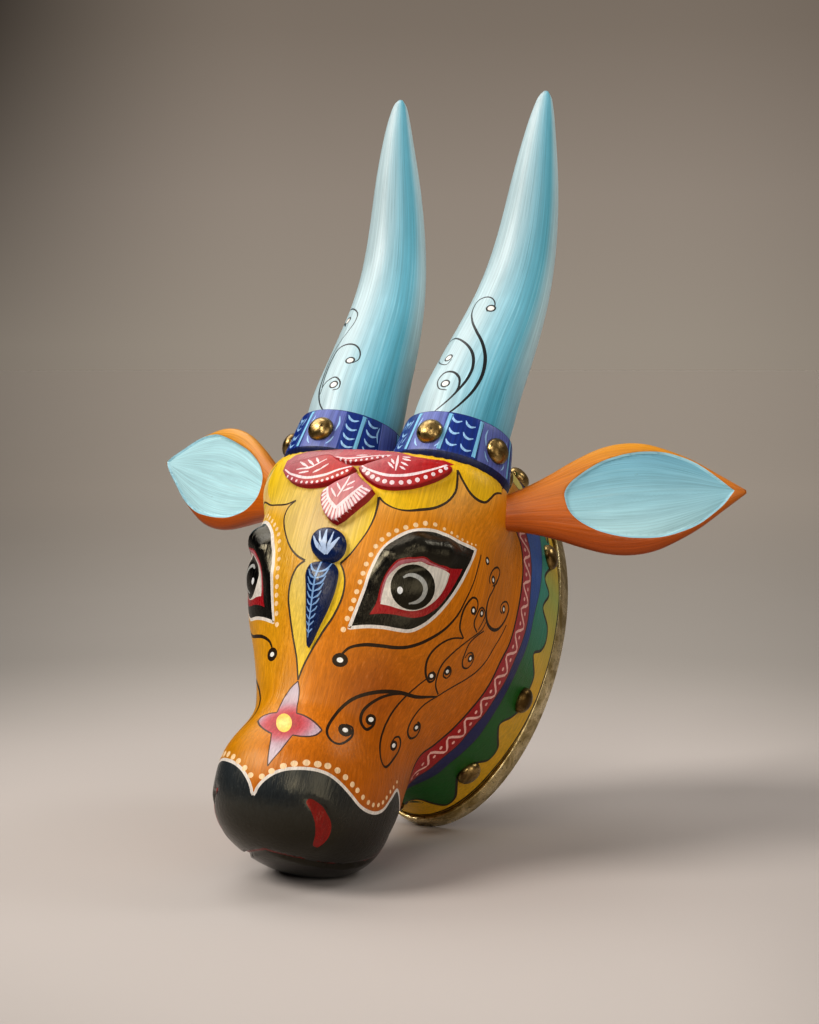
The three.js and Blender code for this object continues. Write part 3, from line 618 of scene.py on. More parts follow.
SCROLLS = [  # widths in mm, then the line
    ((1.5, 2.6, 2.4, 2.4, 1.8, 1.2, 1.1), [(341, 655), (349, 648), (364, 644.8), (380, 645.8),
                                           (397, 647.7), (411.5, 646.3), (428.4, 639.7), (445.4, 628.7),
                                           (457.5, 615.4), (464.8, 602), (473.2, 583.7), (478, 568),
                                           (481.2, 554.7)]),
    ((1.3, 1.5, 1.1), [(440.5, 694.4), (452.6, 687), (464.8, 680), (476.9, 671.3), (486.5, 660.4),
                       (493.8, 648), (501, 636), (506.4, 625)]),
    ((1.4, 2.7, 2.9, 2.6, 2.0, 1.6), [(437, 697), (417, 697), (399, 692.5), (378, 692), (353, 699),
                                      (336, 714), (327, 730), (332, 741), (342, 743.5), (352, 736),
                                      (352.5, 728), (346, 724.5)]),
    ((1.2, 2.1, 2.4, 1.8), [(409, 694), (389, 695), (373, 702), (362.5, 712), (361, 722), (367, 729.5),
                            (374, 724), (374, 717)]),
    ((1.1, 1.5, 1.8, 1.8, 1.4), [(426, 679.3), (416.3, 687), (404.2, 698), (392.1, 712.7), (383.6, 729.7),
                                 (380, 745.5), (381.2, 760), (385.3, 767), (390.9, 762.6), (398.2, 751.6),
                                 (400.6, 743), (398.9, 737), (395, 737.7), (391.6, 743)]),
    ((1.2, 1.5, 1.8, 1.4), [(440.5, 694.4), (434.5, 698), (423.6, 705.3), (415.1, 715), (409, 726),
                            (407.8, 733.4), (410.3, 738.2), (415.1, 737), (419.2, 731), (420, 724.8),
                            (417.5, 721.7)]),
    ((1.2, 1.5, 1.9, 1.9, 1.3), [(463.5, 638.5), (452.6, 638.5), (441.7, 643.3), (432, 652),
                                 (427.2, 660.4), (425.5, 670), (426.5, 677.4), (429.6, 682), (433.8, 680),
                                 (435.2, 675), (432.8, 671.6)]),
    ((1.3, 1.6, 1.3, 1.1), [(438, 694.4), (435.7, 686), (436.9, 677.4), (441.7, 665.2), (450.2, 655.5),
                            (459.9, 647), (469.6, 639.5), (481.7, 630), (486.3, 621.7)]),
    ((1.2, 1.7, 1.9, 1.4, 1.2), [(463.5, 638.5), (460, 629), (460.6, 621.4), (463.5, 610.5), (468.4, 602),
                                 (473.2, 597.6), (476.9, 599.5), (478, 604.4), (476.9, 610.5),
                                 (474.4, 615.4)]),
    ((1.1, 1.5, 1.4, 1.3, 1.0), [(476.9, 632.4), (474.4, 626.3), (474.4, 621.4), (476.9, 615.4),
                                 (479.3, 609.8), (482.2, 607.6), (484.6, 610.5), (485.3, 615.4),
                                 (482.9, 621.4), (478.3, 630)]),
    ((1.2, 1.4, 1.5, 1.4, 1.2), [(490.2, 583.7), (489.4, 580), (490.9, 574), (494.3, 568.6),
                                 (498.2, 567.9), (499.9, 571.6), (498.6, 577.6), (496.2, 583.7),
                                 (492.6, 586.2)]),
    ((1.2, 1.5, 2.4, 2.6, 1.8, 1.4, 1.2), [(498.6, 577.6), (492.6, 591), (488.5, 599.5), (486.5, 609.3),
                                           (486.5, 619), (489, 626.3), (493.8, 630), (498.6, 628.7),
                                           (503.5, 622.7), (507.1, 615.4), (508.8, 608), (507.1, 602.5),
                                           (504, 602), (501, 605.6), (500.3, 610.5), (502.3, 613.7)]),
    ((1.2, 1.4, 1.2), [(446.6, 678.6), (443.4, 676), (444.9, 670), (448.3, 666.6), (451, 670),
                       (449.9, 675.4), (446.6, 678.6)]),
    ((1.2, 1.5, 1.4, 1.1), [(484, 631), (476.9, 636), (469.6, 643.3), (466, 650.6), (462.3, 662.8),
                            (463.5, 667.7), (467.7, 668), (471.5, 664), (473.6, 658), (472, 653),
                            (468.4, 653.5), (465, 658)]),
]
SPOTS = [  # place and radius in mm of the dark rings with a white dot
    (340, 660, 4.6), (345.3, 730, 4.6), (371, 719.5, 3.6), (393.8, 745.5, 3.4), (416.5, 727.5, 3.0),
    (431.5, 676, 3.0), (447.4, 671.5, 2.8), (470.4, 658.5, 2.7), (473.5, 610.5, 2.7), (481.8, 613.4, 2.5),
    (487.5, 561, 2.6), (493.4, 580, 2.7), (503.8, 609.4, 2.7)]

BAND_TOP = {"body": [(0, 64), (28, 66), (48, 84)], "red": [(0, 54), (28, 55), (48, 66)],
            "blue": [(0, 46), (28, 47), (48, 52)]}
BAND_FOOT = {"body": [(151, 131), (160, 118), (170, 108), (180, 104)], "red": [(162, 101), (172, 91),
                                                                               (180, 88)],
             "blue": [(172, 68), (180, 66)]}
GREEN_TOP = [(0, 38), (7, 33), (14, 41), (23, 34), (32, 42), (42, 35), (50, 43), (57, 38)]
GREEN_FOOT = [(168, 44), (173, 52), (178, 46), (180, 45)]


# The zigzag on the red band: its length in mm, its end in degrees from the top and its reach either way
WAVE_LENGTH, WAVE_END, WAVE_REACH = 19.0, 151, 6.4
FLOWER_PLACE, HEART_SIZE = (284, 722.8), (7.9, 9.3)
IRIS_PLACE, IRIS_SIZE = (412.8, 587.2), (22.3, 22.8)
GLINT_PLACE, GLINT_SIZE = (400, 590.3), (2.9, 3.8)


def seen_oval(place, size, count):
    """An oval of the photograph as a closed chart line."""
    a = np.arange(count) / count * 2 * math.pi
    return seen(np.stack([place[0] + size[0] * np.cos(a), place[1] + size[1] * np.sin(a)], -1))


def painted_head():
    """Everything painted and carved on the head, from the ground colours up to the white brushwork."""
    edge = side_place(np.arange(0, 360, 0.75), HOOP_DEPTH + 0.4)
    sheet = Sheet(head_skin, edge, "yellow", 2e-4)

    # bands round the side, from the hoop forward
    lines = list(SEEN_LINES.values()) + [row[1] for row in SCROLLS] + [[(x, y) for x, y, _ in SPOTS]]
    found = seen(np.concatenate([np.array(line, float) for line in lines]))
    at = np.cumsum([0] + [len(line) for line in lines])
    found = [found[a:b] for a, b in zip(at, at[1:])]
    on = dict(zip(SEEN_LINES, found))
    rows = {"body": side_rows(BODY_EDGE, BAND_TOP["body"], BAND_FOOT["body"]),
            "red": side_rows(RED_EDGE, BAND_TOP["red"], BAND_FOOT["red"]),
            "blue": side_rows(BLUE_EDGE, BAND_TOP["blue"], BAND_FOOT["blue"]),
            "green": side_rows(GREEN_EDGE, GREEN_TOP, GREEN_FOOT)}
    ring = {word: round_line(row) for word, row in rows.items()}
    for word, paint, width in (("green", "green", 2.3), ("blue", "blue_band", 1.0), ("red", "red_band", 1.4),
                               ("body", "body", 1.8)):
        sheet.add("area", ring[word], paint)
        sheet.stroke(np.concatenate([ring[word], ring[word][:1]]), "line", width, smooth=False)
    turn = np.arange(-WAVE_END, WAVE_END + 0.1, 0.9)
    body_deep, red_deep = (np.interp(np.abs(turn), *row[np.argsort(row[:, 0])].T)
                           for row in (rows["body"], rows["red"]))
    mid, reach = (body_deep + red_deep) / 2, np.clip((body_deep - red_deep) / 2, 2, 9)
    place = head_skin(side_place(turn, mid))
    run = np.concatenate([[0], np.cumsum(np.linalg.norm(np.diff(place, axis=0), axis=1))])
    phase = run / WAVE_LENGTH * 2 * math.pi
    wave = mid + np.minimum(reach * 0.72, WAVE_REACH) * np.sin(phase)
    sheet.stroke(side_place(turn, wave), "wave", 2.2, smooth=False)
    for k in np.arange(0.25, run[-1] / WAVE_LENGTH, 0.5):
        t = np.interp(k * WAVE_LENGTH, run, turn)
        sign = 1 if round((k - 0.25) * 2) % 2 == 0 else -1
        m, r = np.interp(t, turn, mid), np.interp(t, turn, reach)
        sheet.dot(side_place([t], [m - sign * min(r * 0.3, 2.6)]), "wave", 1.6, sides=8)
    # A dark line round the side just ahead of the hoop: a painted shadow of the gap at the hoop
    around = np.arange(0, 360.5, 1.0)
    sheet.stroke(side_place(around, np.full(len(around), HOOP_DEPTH + 2.1)), "line", 2.3, smooth=False)

    # yellow field over the forehead, down the nose and round the horns
    crown = chart(np.array([[0, 250, 128], [38, 252, 128], [62, 246, 132], [80, 228, 150], [84, 214, 168.0]]))
    side = smooth_line(on["lobe_side"])
    ear_lobe = smooth_line(on["lobe_ear"])
    line = np.concatenate([
        smooth_line(on["lobe_nose"][::-1])[:-1], smooth_line(on["lobe_brow"][::-1])[:-1], side[:-1], ear_lobe,
        crown[::-1], crown[1:] * (-1, 1), (ear_lobe * (-1, 1))[::-1],
        side[len(side) * 3 // 5:][::-1] * (-1, 1),
        smooth_line(on["lobe_side_right"])[:-1], smooth_line(on["lobe_brow_right"])[:-1],
        smooth_line(on["lobe_nose_right"])[:-1]])
    sheet.add("area", line, "yellow_field")
    for word, width in (("lobe_nose", (1.0, 1.4, 1.1)), ("lobe_brow", (1.6, 1.0, 0.8, 1.4)),
                        ("lobe_side", (1.2, 0.8, 1.8, 1.4, 1.2)), ("lobe_ear", (1.2, 1.6, 1.2)),
                        ("lobe_nose_right", (1.4, 1.2, 1.0)), ("lobe_brow_right", (1.3, 1.0, 1.4)),
                        ("lobe_side_right", (1.2, 1.0, 1.2))):
        sheet.stroke(on[word], "thin_line", np.multiply(width, 1.25))
    sheet.stroke(ear_lobe * (-1, 1), "thin_line", 1.6, smooth=False)
    tab = chart(np.array([[0, 292, 58], [30, 288, 58], [52, 272, 60], [58, 262, 84], [50, 256, 108],
                          [26, 262, 118], [0, 264, 121.0]]))
    tab = smooth_line(half(tab), True)
    sheet.add("area", tab, "pale_yellow")
    sheet.stroke(np.concatenate([tab, tab[:1]]), "line", 1.3, smooth=False)

    # four-petalled flower on the nose
    petals = [seen(np.array(line)) for line in FLOWER_TIPS]
    sheet.add("area", np.concatenate([line[:-1] for line in petals]), "flower")
    for line, wide in zip(petals, (0.9, 1.3, 0.9, 1.3)):
        tip = 4 if len(line) == 9 else 3
        sheet.stroke(line[:tip + 1], "flower_line", wide, 0.008)
        sheet.stroke(line[tip:], "flower_line", wide, 0.008)
    sheet.add("area", seen_oval(FLOWER_PLACE, HEART_SIZE, 32), "flower_heart")

    # muzzle
    back = chart(np.array([[44, -26, 128], [30, -34, 120], [14, -38, 117], [0, -39, 116.0]]))
    muzzle = np.concatenate([smooth_line(np.concatenate([on["muzzle"], back[:1]])), back[1:]])
    muzzle[0, 0] = muzzle[-1, 0] = 0
    sheet.add("area", half(muzzle), "muzzle")
    sheet.mirrored = True
    sheet.stroke(muzzle, "white_line", 2.3, smooth=False)
    for q, r in zip(on["muzzle_dots"], np.interp(np.arange(20), [0, 5, 12, 19], [2.0, 2.4, 1.7, 1.2])):
        sheet.dot(q, "cream", r, 1.15)
    sheet.add("area", smooth_line(on["nostril"], True, 0.006), "nostril_red")
    sheet.stroke(chart(np.array(MOUTH)), "lip_red", (2.2, 2.6, 2.2, 1.6, 0.8))

    # eyes
    eye = corners([on["eye_lower"], on["eye_upper"]], 0.009)
    sheet.add("area", eye, "black")
    sheet.stroke(np.concatenate([eye, eye[:2]]), "white_line", 2.5, smooth=False)
    sheet.add("area", corners([on["lid_lower"], on["lid_upper"]], 0.007), "lid_red")
    # The lid's red, paler and pinker at its top: a painted highlight
    sheet.add("area", corners([on["lid_highlight_lower"], on["lid_highlight_upper"]], 0.007), "lid_red_highlight")
    sheet.add("area", corners([on["white_lower"], on["white_upper"]], 0.007), "eye_white")
    sheet.add("area", seen_oval(IRIS_PLACE, IRIS_SIZE, 40), "iris")
    sheet.stroke(on["crescent"], "crescent", (1.4, 3.2, 3.6, 3.6, 3.0, 1.0), 0.006)
    sheet.add("area", seen_oval(GLINT_PLACE, GLINT_SIZE, 14), "glint")
    for q, r in zip(on["eye_dots"], np.interp(np.arange(24), [0, 6, 8, 12, 23], [0.8, 1.3, 1.95, 1.7, 1.95])):
        sheet.dot(q, "cream", r)

    # scrolls on the cheeks
    for (widths, _), line in zip(SCROLLS, found[len(SEEN_LINES):-1]):
        sheet.stroke(line, "scroll", widths, 0.008)
    for q, (_, _, r) in zip(found[-1], SPOTS):
        sheet.dot(q, "scroll", r * 1.08, 1.15, sides=14)
        sheet.dot(q, "white_dot", r * (0.4 if r > 4 else 0.48), 1.3, sides=12)
    sheet.mirrored = False
    carved_forehead(sheet)
    return sheet


# Raised carving on the forehead: paint, height of its edge and of its crown over that in mm, line in the
# photograph's pixels, and the places in it that are corners
CARVINGS = [
    ("petal_left", 4.5, 1.2, [(282, 470), (285.5, 465), (299.6, 458.2), (313.6, 454.6), (330.3, 452),
                              (338, 456.5), (347, 461.5), (355.8, 465), (349, 473.5), (340, 477.5),
                              (329, 481), (318, 483.5), (306, 484.5), (295, 482.8),
                              (286.5, 478.5)], (0, 7)),
    ("petal_right", 4.5, 1.2, [(357.5, 465.5), (366.6, 461.5), (380.5, 457), (394.5, 453), (411.2, 453.6),
                               (427.9, 456.6), (441.9, 460), (454.5, 464.7), (451.5, 469.5),
                               (440.5, 476.5), (425, 482.4), (409, 486), (393, 486.6), (379, 484.6),
                               (369.5, 479.6), (361.5, 472)], (0, 7)),
    ("petal_top", 3, 0.8, [(331.5, 456), (343, 454), (358, 453), (375, 452.6), (389, 453), (399.5, 454.4),
                           (391.7, 456.6), (380.5, 458.8), (366.6, 460.6), (352.6, 461.2),
                           (341.5, 459.4)], (0, 5)),
    ("petal_centre", 7, 1.2, [(356.8, 469), (362.4, 476.7), (369.4, 482.8), (373.5, 487.9),
                              (366.6, 495.4), (358.2, 502), (349.8, 508.8), (341, 516), (333.1, 520.4),
                              (326.5, 516.5), (322, 509.5), (319.6, 500.4), (320, 493.4), (323.3, 487.2),
                              (336, 479), (348.4, 473)], (0, 3, 8, 13)),
    ("bead_blue", 2.5, 4.5, [(305.8, 646), (304.4, 630), (303.8, 612), (304, 598), (303.8, 584.5),
                             (304, 571), (308.8, 562), (319, 559), (331, 561), (336.2, 569), (334.6, 583),
                             (328.3, 602), (317, 625.5)], ()),
    ("bead_blue", 4.5, 4.5, [(308.8, 542), (311, 533), (317.5, 526.5), (326, 524.6), (335, 526.5),
                             (341.5, 533), (343.6, 542), (341, 551), (334.5, 557.5), (326, 559.6),
                             (317, 557.5), (311, 551)], ()),
]
# Flat red from the petals up to the collars
PETAL_GROUND = {
    "petal_right": [(284, 468), (287, 461), (296, 455), (308, 450), (322, 446.5), (340, 446), (358, 446),
                    (375, 446), (390, 447), (402, 453), (414, 456.5), (430, 459), (444, 460.5),
                    (454.5, 464.7), (440, 469), (410, 472), (380, 470), (362, 466), (340, 466),
                    (318, 466), (298, 470)],
    "petal_top": [(338, 456), (344, 448), (358, 446.5), (375, 446.5), (390, 447.5), (398, 452),
                  (380, 458), (356, 460)],
}
PETAL_LINES = [  # (height in mm, widths in mm, line)
    (5.5, (1.0, 2.1, 2.1, 1.2), [(360.3, 461.8), (364.4, 465.8), (375.3, 470.7), (387.6, 474),
                                 (404, 474.3), (423.2, 471), (439.6, 466), (450.6, 462)]),
    (5.5, (0.8, 2.0, 0.8), [(398.7, 453.5), (397.5, 461), (395.9, 469.7)]),
    (5.5, (0.7, 2.0, 0.7), [(391.7, 457.2), (394.5, 462.8)]), (5.5, (0.7, 2.0, 0.7), [(388.3, 460.8),
                                                                                      (393.9, 467.5)]),
    (5.5, (0.7, 2.0, 0.7), [(402.8, 457), (411.2, 459.1)]), (5.5, (0.7, 2.0, 0.7), [(401.4, 460.8),
                                                                                    (408.4, 464.7)]),
    (5.5, (0.7, 2.0, 0.7), [(400, 465.2), (405.6, 468.8)]), (5.5, (0.7, 1.4, 0.7), [(403, 455),
                                                                                    (411, 455.6)]),
    (5.5, (1.0, 2.0, 2.0, 1.1), [(285, 468.5), (291.9, 473.4), (305.6, 476.4), (324.7, 473.6),
                                 (338.4, 468.5), (352, 464.4)]),
    (5.5, (0.7, 1.9, 0.7), [(296.8, 468.9), (312.2, 466), (327.5, 457.5)]),
    (5.5, (0.7, 2.0, 0.7), [(300.5, 460.5), (308.5, 466.3)]), (5.5, (0.7, 2.0, 0.7), [(308.5, 458.5),
                                                                                      (314.5, 464.5)]),
    (5.5, (0.7, 1.9, 0.7), [(317, 456.5), (319.5, 462)]), (5.5, (0.7, 1.9, 0.7), [(313, 471.5),
                                                                                  (322, 467.5)]),
    (5.5, (0.7, 1.9, 0.7), [(321, 468), (329, 462.5)]), (5.5, (0.7, 1.8, 0.7), [(299, 472.3), (309, 470.3)]),
    (3.6, (0.8, 1.3, 0.8), [(335.9, 455.6), (347, 457.4), (358.2, 457), (374.9, 455.2), (396, 453.6)]),
    (4.2, (0.6, 1.4, 0.6), [(363.8, 450.3), (371, 452.6)]), (4.2, (0.6, 1.4, 0.6), [(375, 450.3),
                                                                                    (375.3, 452.5)]),
    (4.2, (0.6, 1.4, 0.6), [(384, 450.3), (379, 452.6)]), (4.2, (0.6, 1.4, 0.6), [(357, 453.8),
                                                                                  (368, 453.4)]),
    (8, (1.2, 2.2, 2.6), [(327, 484.5), (328, 496.2), (335.9, 507.4)]),
    (8, (2.6, 2.2, 1.2), [(335.9, 507.4), (347, 497.6), (362.4, 484.3)]),
    (8, (0.8, 1.7, 0.8), [(350, 474.5), (345, 484), (337.5, 496)]),
    (8, (0.7, 1.7, 0.7), [(337, 481.5), (340.5, 489)]), (8, (0.7, 1.7, 0.7), [(331, 487), (336, 496)]),
    (8, (0.7, 1.7, 0.7), [(355, 479.5), (347, 484.5)]), (8, (0.7, 1.6, 0.7), [(353.5, 486), (343, 490.5)]),
]
PETAL_DOTS = [  # (height, radius in mm, place)
    (5.5, 1.75, [(364.4, 468.5), (368, 471.8), (372.6, 475.3), (378, 478), (384.9, 480), (392.3, 481.2),
                 (401.3, 481.4), (409.5, 480.6), (417.7, 478.6)]),
    (5.5, 1.5, [(426, 475.8), (433.6, 473), (441, 469.6), (446.5, 466.4)]),
    (5.5, 1.15, [(287.5, 475.4), (291.5, 477.8), (296, 479.6), (301, 480.8), (306.2, 481.2), (311.5, 481),
                 (316.8, 480.4), (322, 479.2), (327.2, 477.6), (332.3, 475.8), (337.4, 473.8),
                 (342.4, 471.6), (347.2, 469.2)]),
    (3.6, 1.0, [(341, 457.8), (345.8, 459.2), (351, 459.6), (356.4, 459.4), (361.8, 458.9),
                (367.2, 458.2), (372.6, 457.4), (378, 456.6), (383.4, 455.8), (388.8, 455)]),
]
COMB_INNER = [(327, 486), (327.3, 493), (329.5, 500), (335.9, 507.4), (343, 501.3), (351, 494.3),
              (361.5, 485.4)]
COMB_OUTER = [(322, 489), (321, 499), (323.2, 509.5), (332.7, 518.6), (343.5, 512.4), (356.5, 501.6),
              (370.7, 489)]
TEAR_VEIN = [(320, 560), (315, 580), (311.5, 600), (308.5, 620), (306.5, 638)]
LILY = [((1.0, 3.4, 1.2), [(312.5, 534), (316.5, 543), (324.5, 553)]),
        ((1.0, 3.6, 1.6), [(326, 527.5), (325, 540), (325, 553)]),
        ((1.0, 3.2, 1.2), [(338.5, 535.5), (333, 543.5), (326, 553)]),
        ((0.6, 2.2, 1.0), [(319, 529), (321, 540), (324.5, 552)]),
        ((0.6, 2.0, 1.0), [(333, 530), (330.5, 540), (326, 552)])]


def raised_place(px, height):
    """Chart points of the pixels as they show on carving of that height."""
    px = np.array(px, float)
    at = head_skin(seen(px))
    return seen(2 * px - onto_photo(at + slope(plain_field, at) * height))


def carved_forehead(sheet):
    """The raised petals, bead and teardrop, with the white and pale blue brushwork on them."""
    for word, line in PETAL_GROUND.items():
        sheet.add("area", seen(np.array(line, float)), word)
    for word, rise, crown, line, tips in CARVINGS:
        ring = raised_place(line, rise + crown / 2)
        if tips:
            runs = [ring[a:b + 1] for a, b in zip(tips, tips[1:])]
            ring = corners(runs + [np.concatenate([ring[tips[-1]:], ring[:1]])], 0.009)
        else:
            ring = smooth_line(ring, True, 0.009)
        sheet.carve(ring, rise, crown, word if word == "bead_blue" else "petal_edge", word)
    # white brushwork on the carving
    for height, widths, line in PETAL_LINES:
        sheet.stroke(raised_place(line, height), "petal_white", widths, 0.006)
    for height, radius, places in PETAL_DOTS:
        for q in raised_place(places, height):
            sheet.dot(q, "petal_white", radius, sides=10)
    inner, outer = (smooth_line(np.array(line), False, 0.5) for line in (COMB_INNER, COMB_OUTER))
    for t in np.linspace(0.02, 0.98, 19):
        a, b = (line[round(t * (len(line) - 1))] for line in (inner, outer))
        sheet.stroke(raised_place([a, (a + b) / 2, b], 8), "petal_white", (1.2, 1.8, 1.3), 0.006)
    vein = smooth_line(np.array(TEAR_VEIN), False, 0.5)
    sheet.stroke(raised_place(vein[::12], 6), "pale_blue", (1.6, 1.7, 1.2, 0.6), 0.006)
    for k, t in enumerate(np.linspace(0.12, 0.9, 10)):
        a = vein[round(t * (len(vein) - 1))]
        wide = 11.5 * (1 - t) + 2.2
        for way in (-0.72, 1.12):
            line = [a + (wide * way, -wide * 0.75), a + (wide * way * 0.62, -1.0), a + (0, 2.0)]
            sheet.stroke(raised_place(line, 6), "pale_blue", (0.6, 1.7 - 0.08 * k, 0.6), 0.006)
    for widths, line in LILY:
        sheet.stroke(raised_place(line, 8), "lily", widths, 0.006)


def colour_at(t, places, codes):
    """The colour at t, between colours given at places."""
    table = np.array([linear(code) for code in codes])
    return np.stack([np.interp(t, places, table[:, k]) for k in range(3)], -1)


def shade_between(codes, places, read):
    """A paint whose colour changes along read(place)."""
    return lambda corner: colour_at(read(corner), places, codes)


FLOWER_HEART = head_skin(seen([FLOWER_PLACE]))[0]


def stand_height(p):
    """Height above the floor as the mask stands, in mm."""
    return p[..., 1] * math.cos(LEAN) + p[..., 2] * math.sin(LEAN)


def from_flower(p):
    """How far from the flower's heart, the upright petals whitening sooner than the level ones."""
    return np.linalg.norm((p - FLOWER_HEART) * (0.86, 1, 1), axis=-1)


def up_brow(p):
    """Height on the forehead, less to the sides, for the painted highlight above the eyes and the painted
    shade lower on the face.
    """
    return p[..., 1] - 0.5 * np.maximum(0, np.abs(p[..., 0]) - 45) - 0.8 * np.maximum(0, 205 - p[..., 2])


def field_mix(p):
    """How far from the pale middle of the yellow field."""
    return (np.maximum(p[..., 0], -0.35 * p[..., 0]) + 0.7 * np.maximum(0, 215 - p[..., 2])
            + 0.3 * np.abs(p[..., 1] - 150))


def below_ear(p):
    """Degrees round the side from the top."""
    turn = np.arctan2(p[..., 0] / BACK_HALF_WIDTH, (p[..., 1] - BACK_CENTRE) / BACK_HALF_HEIGHT)
    return np.degrees(np.abs(turn))


# Middle and reach in mm of the painted shadow on the cow's left cheek
CHEEK_SHADOW_PLACE, CHEEK_SHADOW_REACH = head_skin(seen([(372, 690)]))[0], 34


def body_lit_and_shaded(corner):
    """Orange with painted light and shade: darker on the cow's left cheek, under the jaw and over all the
    cow's left as painted shade, yellower on the right as painted light, paler on the brow as a painted
    highlight.
    """
    colour = shade_between(("B4600A", "CB7508", "D2800C", "DA8E20", "E6B078"),
                           (-60, 0, 90, 150, 180), up_brow)(corner)
    x = corner[..., :1]
    # painted shadow on the cow's left cheek
    dark = np.exp(-(np.linalg.norm(corner - CHEEK_SHADOW_PLACE, axis=-1, keepdims=True) / CHEEK_SHADOW_REACH)**2)
    colour = colour * (1 - np.array([0.3, 0.42, 0.6]) * dark)
    # painted shade over the cow's left, painted light over its right
    return colour * (1 - np.array([0.08, 0.14, 0.6]) * np.clip(x / 50, 0, 1)) * (
        1 + np.array([0.02, 0.42, 0.6]) * np.clip((8 - x) / 35, 0, 1))


# The paints: a colour, or a function that gives it from the place, and how dull the paint is
PALETTE = {
    "body": (body_lit_and_shaded, 0.34),
    # yellow, green, blue_band and red_band turn paler and greyer by the ear, 62 to 80 degrees round from the
    # top: a painted sheen
    "yellow": (shade_between(("DDB02A", "D8B038", "A9B25C", "DDAA1C"), (0, 62, 76, 104), below_ear), 0.42),
    "yellow_field": (shade_between(("C9A866", "DCBC5C", "E8C024", "E0B010"),
                                   (4, 20, 36, 62), field_mix), 0.36),
    "pale_yellow": ("DCCB72", 0.45),
    "green": (shade_between(("035226", "2E8A78", "3E9C8C", "035C1C"), (0, 62, 76, 104), below_ear), 0.42),
    "blue_band": (shade_between(("1C2370", "2F57A0", "3564AE", "141A5A"), (0, 62, 76, 104), below_ear), 0.42),
    "red_band": (shade_between(("A3182A", "A8404A", "A00C18"), (0, 80, 125), below_ear), 0.38),
    "line": ("201614", 0.4), "thin_line": ("34241C", 0.42), "wave": ("E8B4A8", 0.42),
    "black": ("1A1816", 0.17),
    # The muzzle's black greys towards its top: a painted sheen
    "muzzle": (shade_between(("1A1815", "1B1A18", "2A2C2C", "363A3C"), (20, 45, 66, 92), stand_height), 0.19),
    "white_line": ("DCD2C8", 0.4), "cream": ("EECBA0", 0.4), "nostril_red": ("860A10", 0.2),
    # the pink on the eyelid is its red lit at the top: a painted highlight
    "lip_red": ("6E1418", 0.35), "lid_red": ("9C1420", 0.26), "lid_red_highlight": ("B8707A", 0.32),
    "eye_white": ("D8D0C4", 0.3), "iris": ("12110E", 0.22), "crescent": ("A9A9A4", 0.3),
    "glint": ("DCDCDA", 0.3), "scroll": ("241006", 0.38), "white_dot": ("F0ECE4", 0.4),
    "flower": (shade_between(("A83A44", "B83A46", "C06470", "BEA2AC", "C8B6C0"),
                             (7, 10.5, 14.5, 20, 27), from_flower), 0.42),
    "flower_line": ("4A3430", 0.42),
    "flower_heart": (shade_between(("F4DA84", "EDC458"), (2, 7), from_flower), 0.42),
    "petal_left": (shade_between(("AE6A74", "B2505A", "B01E2A"), (-75, -40, -10), lambda p: p[..., 0]), 0.36),
    "petal_right": (shade_between(("B06068", "B24650", "AC0E1C"), (12, 34, 60), lambda p: p[..., 0]), 0.36),
    "petal_top": ("B54450", 0.36), "petal_centre": ("BE6F78", 0.36),
    "petal_edge": ("8E0C18", 0.34), "petal_white": ("EBD6D8", 0.42), "bead_blue": ("0E2450", 0.2),
    "pale_blue": ("7FA2CC", 0.35), "lily": ("B4C6E2", 0.35),
}


# Closeness of the loose points on the head's chart, how far they go, and how clear they stay of the lines
HEAD_STEP, HEAD_FAR, HEAD_CLEAR = 0.0165, 2.85, 0.007
# The same closeness on the rolled pieces, in mm, and how clear they stay as a share of it
HORN_STEP, STRIP_STEP, STRIP_CLEAR = 2.6, 2.0, 0.42


def chart_grid(step, far):
    """Loose chart points, evenly spread over the directions."""
    rows = []
    for k in range(1, int(far / step)):
        turn = k * step
        n = max(6, round(2 * math.pi * math.sin(turn) / step))
        a = np.arange(n) / n * 2 * math.pi + k * 0.37
        rows.append(np.stack([turn * np.sin(a), turn * np.cos(a)], -1))
    return np.concatenate(rows)


def table_grid(half_width, low, high, step):
    """The closed edge and the loose points of a strip that is rolled round a piece."""
    across, up = max(8, round(2 * half_width / step)), max(2, round((high - low) / step))
    u, v = np.linspace(-half_width, half_width, across + 1), np.linspace(low, high, up + 1)
    edge = np.concatenate([
        np.stack([u[:-1], u[:-1] * 0 + low], -1), np.stack([v[:-1] * 0 + half_width, v[:-1]], -1),
        np.stack([u[:0:-1], u[:0:-1] * 0 + high], -1), np.stack([v[:0:-1] * 0 - half_width, v[:0:-1]], -1)])
    gu, gv = np.meshgrid(u[1:-1], v[1:-1])
    gu = gu + (np.arange(len(gu)) % 2 - 0.5)[:, None] * step * 0.4
    return edge, np.stack([gu.ravel(), gv.ravel()], -1)


def seen_on(skin, px, half_width, low, high):
    """The photograph's pixels as chart points on a rolled strip."""
    px = np.atleast_2d(np.asarray(px, float))
    u, v = np.meshgrid(np.linspace(-half_width, half_width, 73), np.linspace(low, high, 60))
    q = np.stack([u.ravel(), v.ravel()], -1)
    e, f = np.array([0.5, 0]), np.array([0, 0.5])
    place = skin(q)
    out = np.cross(skin(q + e) - skin(q - e), skin(q + f) - skin(q - f))
    facing = np.sum(out * (CAMERA_AT - place), -1)
    facing *= np.sign(np.sum(out * (place - place.mean(0)), -1).sum())
    q = q[facing > 0]
    shown = onto_photo(skin(q))
    at = q[np.argmin(((px[:, None] - shown[None])**2).sum(-1), axis=1)]
    for _ in range(8):
        now = onto_photo(skin(at))
        pull = np.stack([(onto_photo(skin(at + e)) - now) / 0.5, (onto_photo(skin(at + f)) - now) / 0.5], -1)
        move = np.einsum("nij,nj->ni", np.linalg.pinv(pull, rcond=0.02), px - now)
        at = at + np.clip(move, -4, 4)
    return np.stack([np.clip(at[:, 0], -half_width, half_width), np.clip(at[:, 1], low, high)], -1)


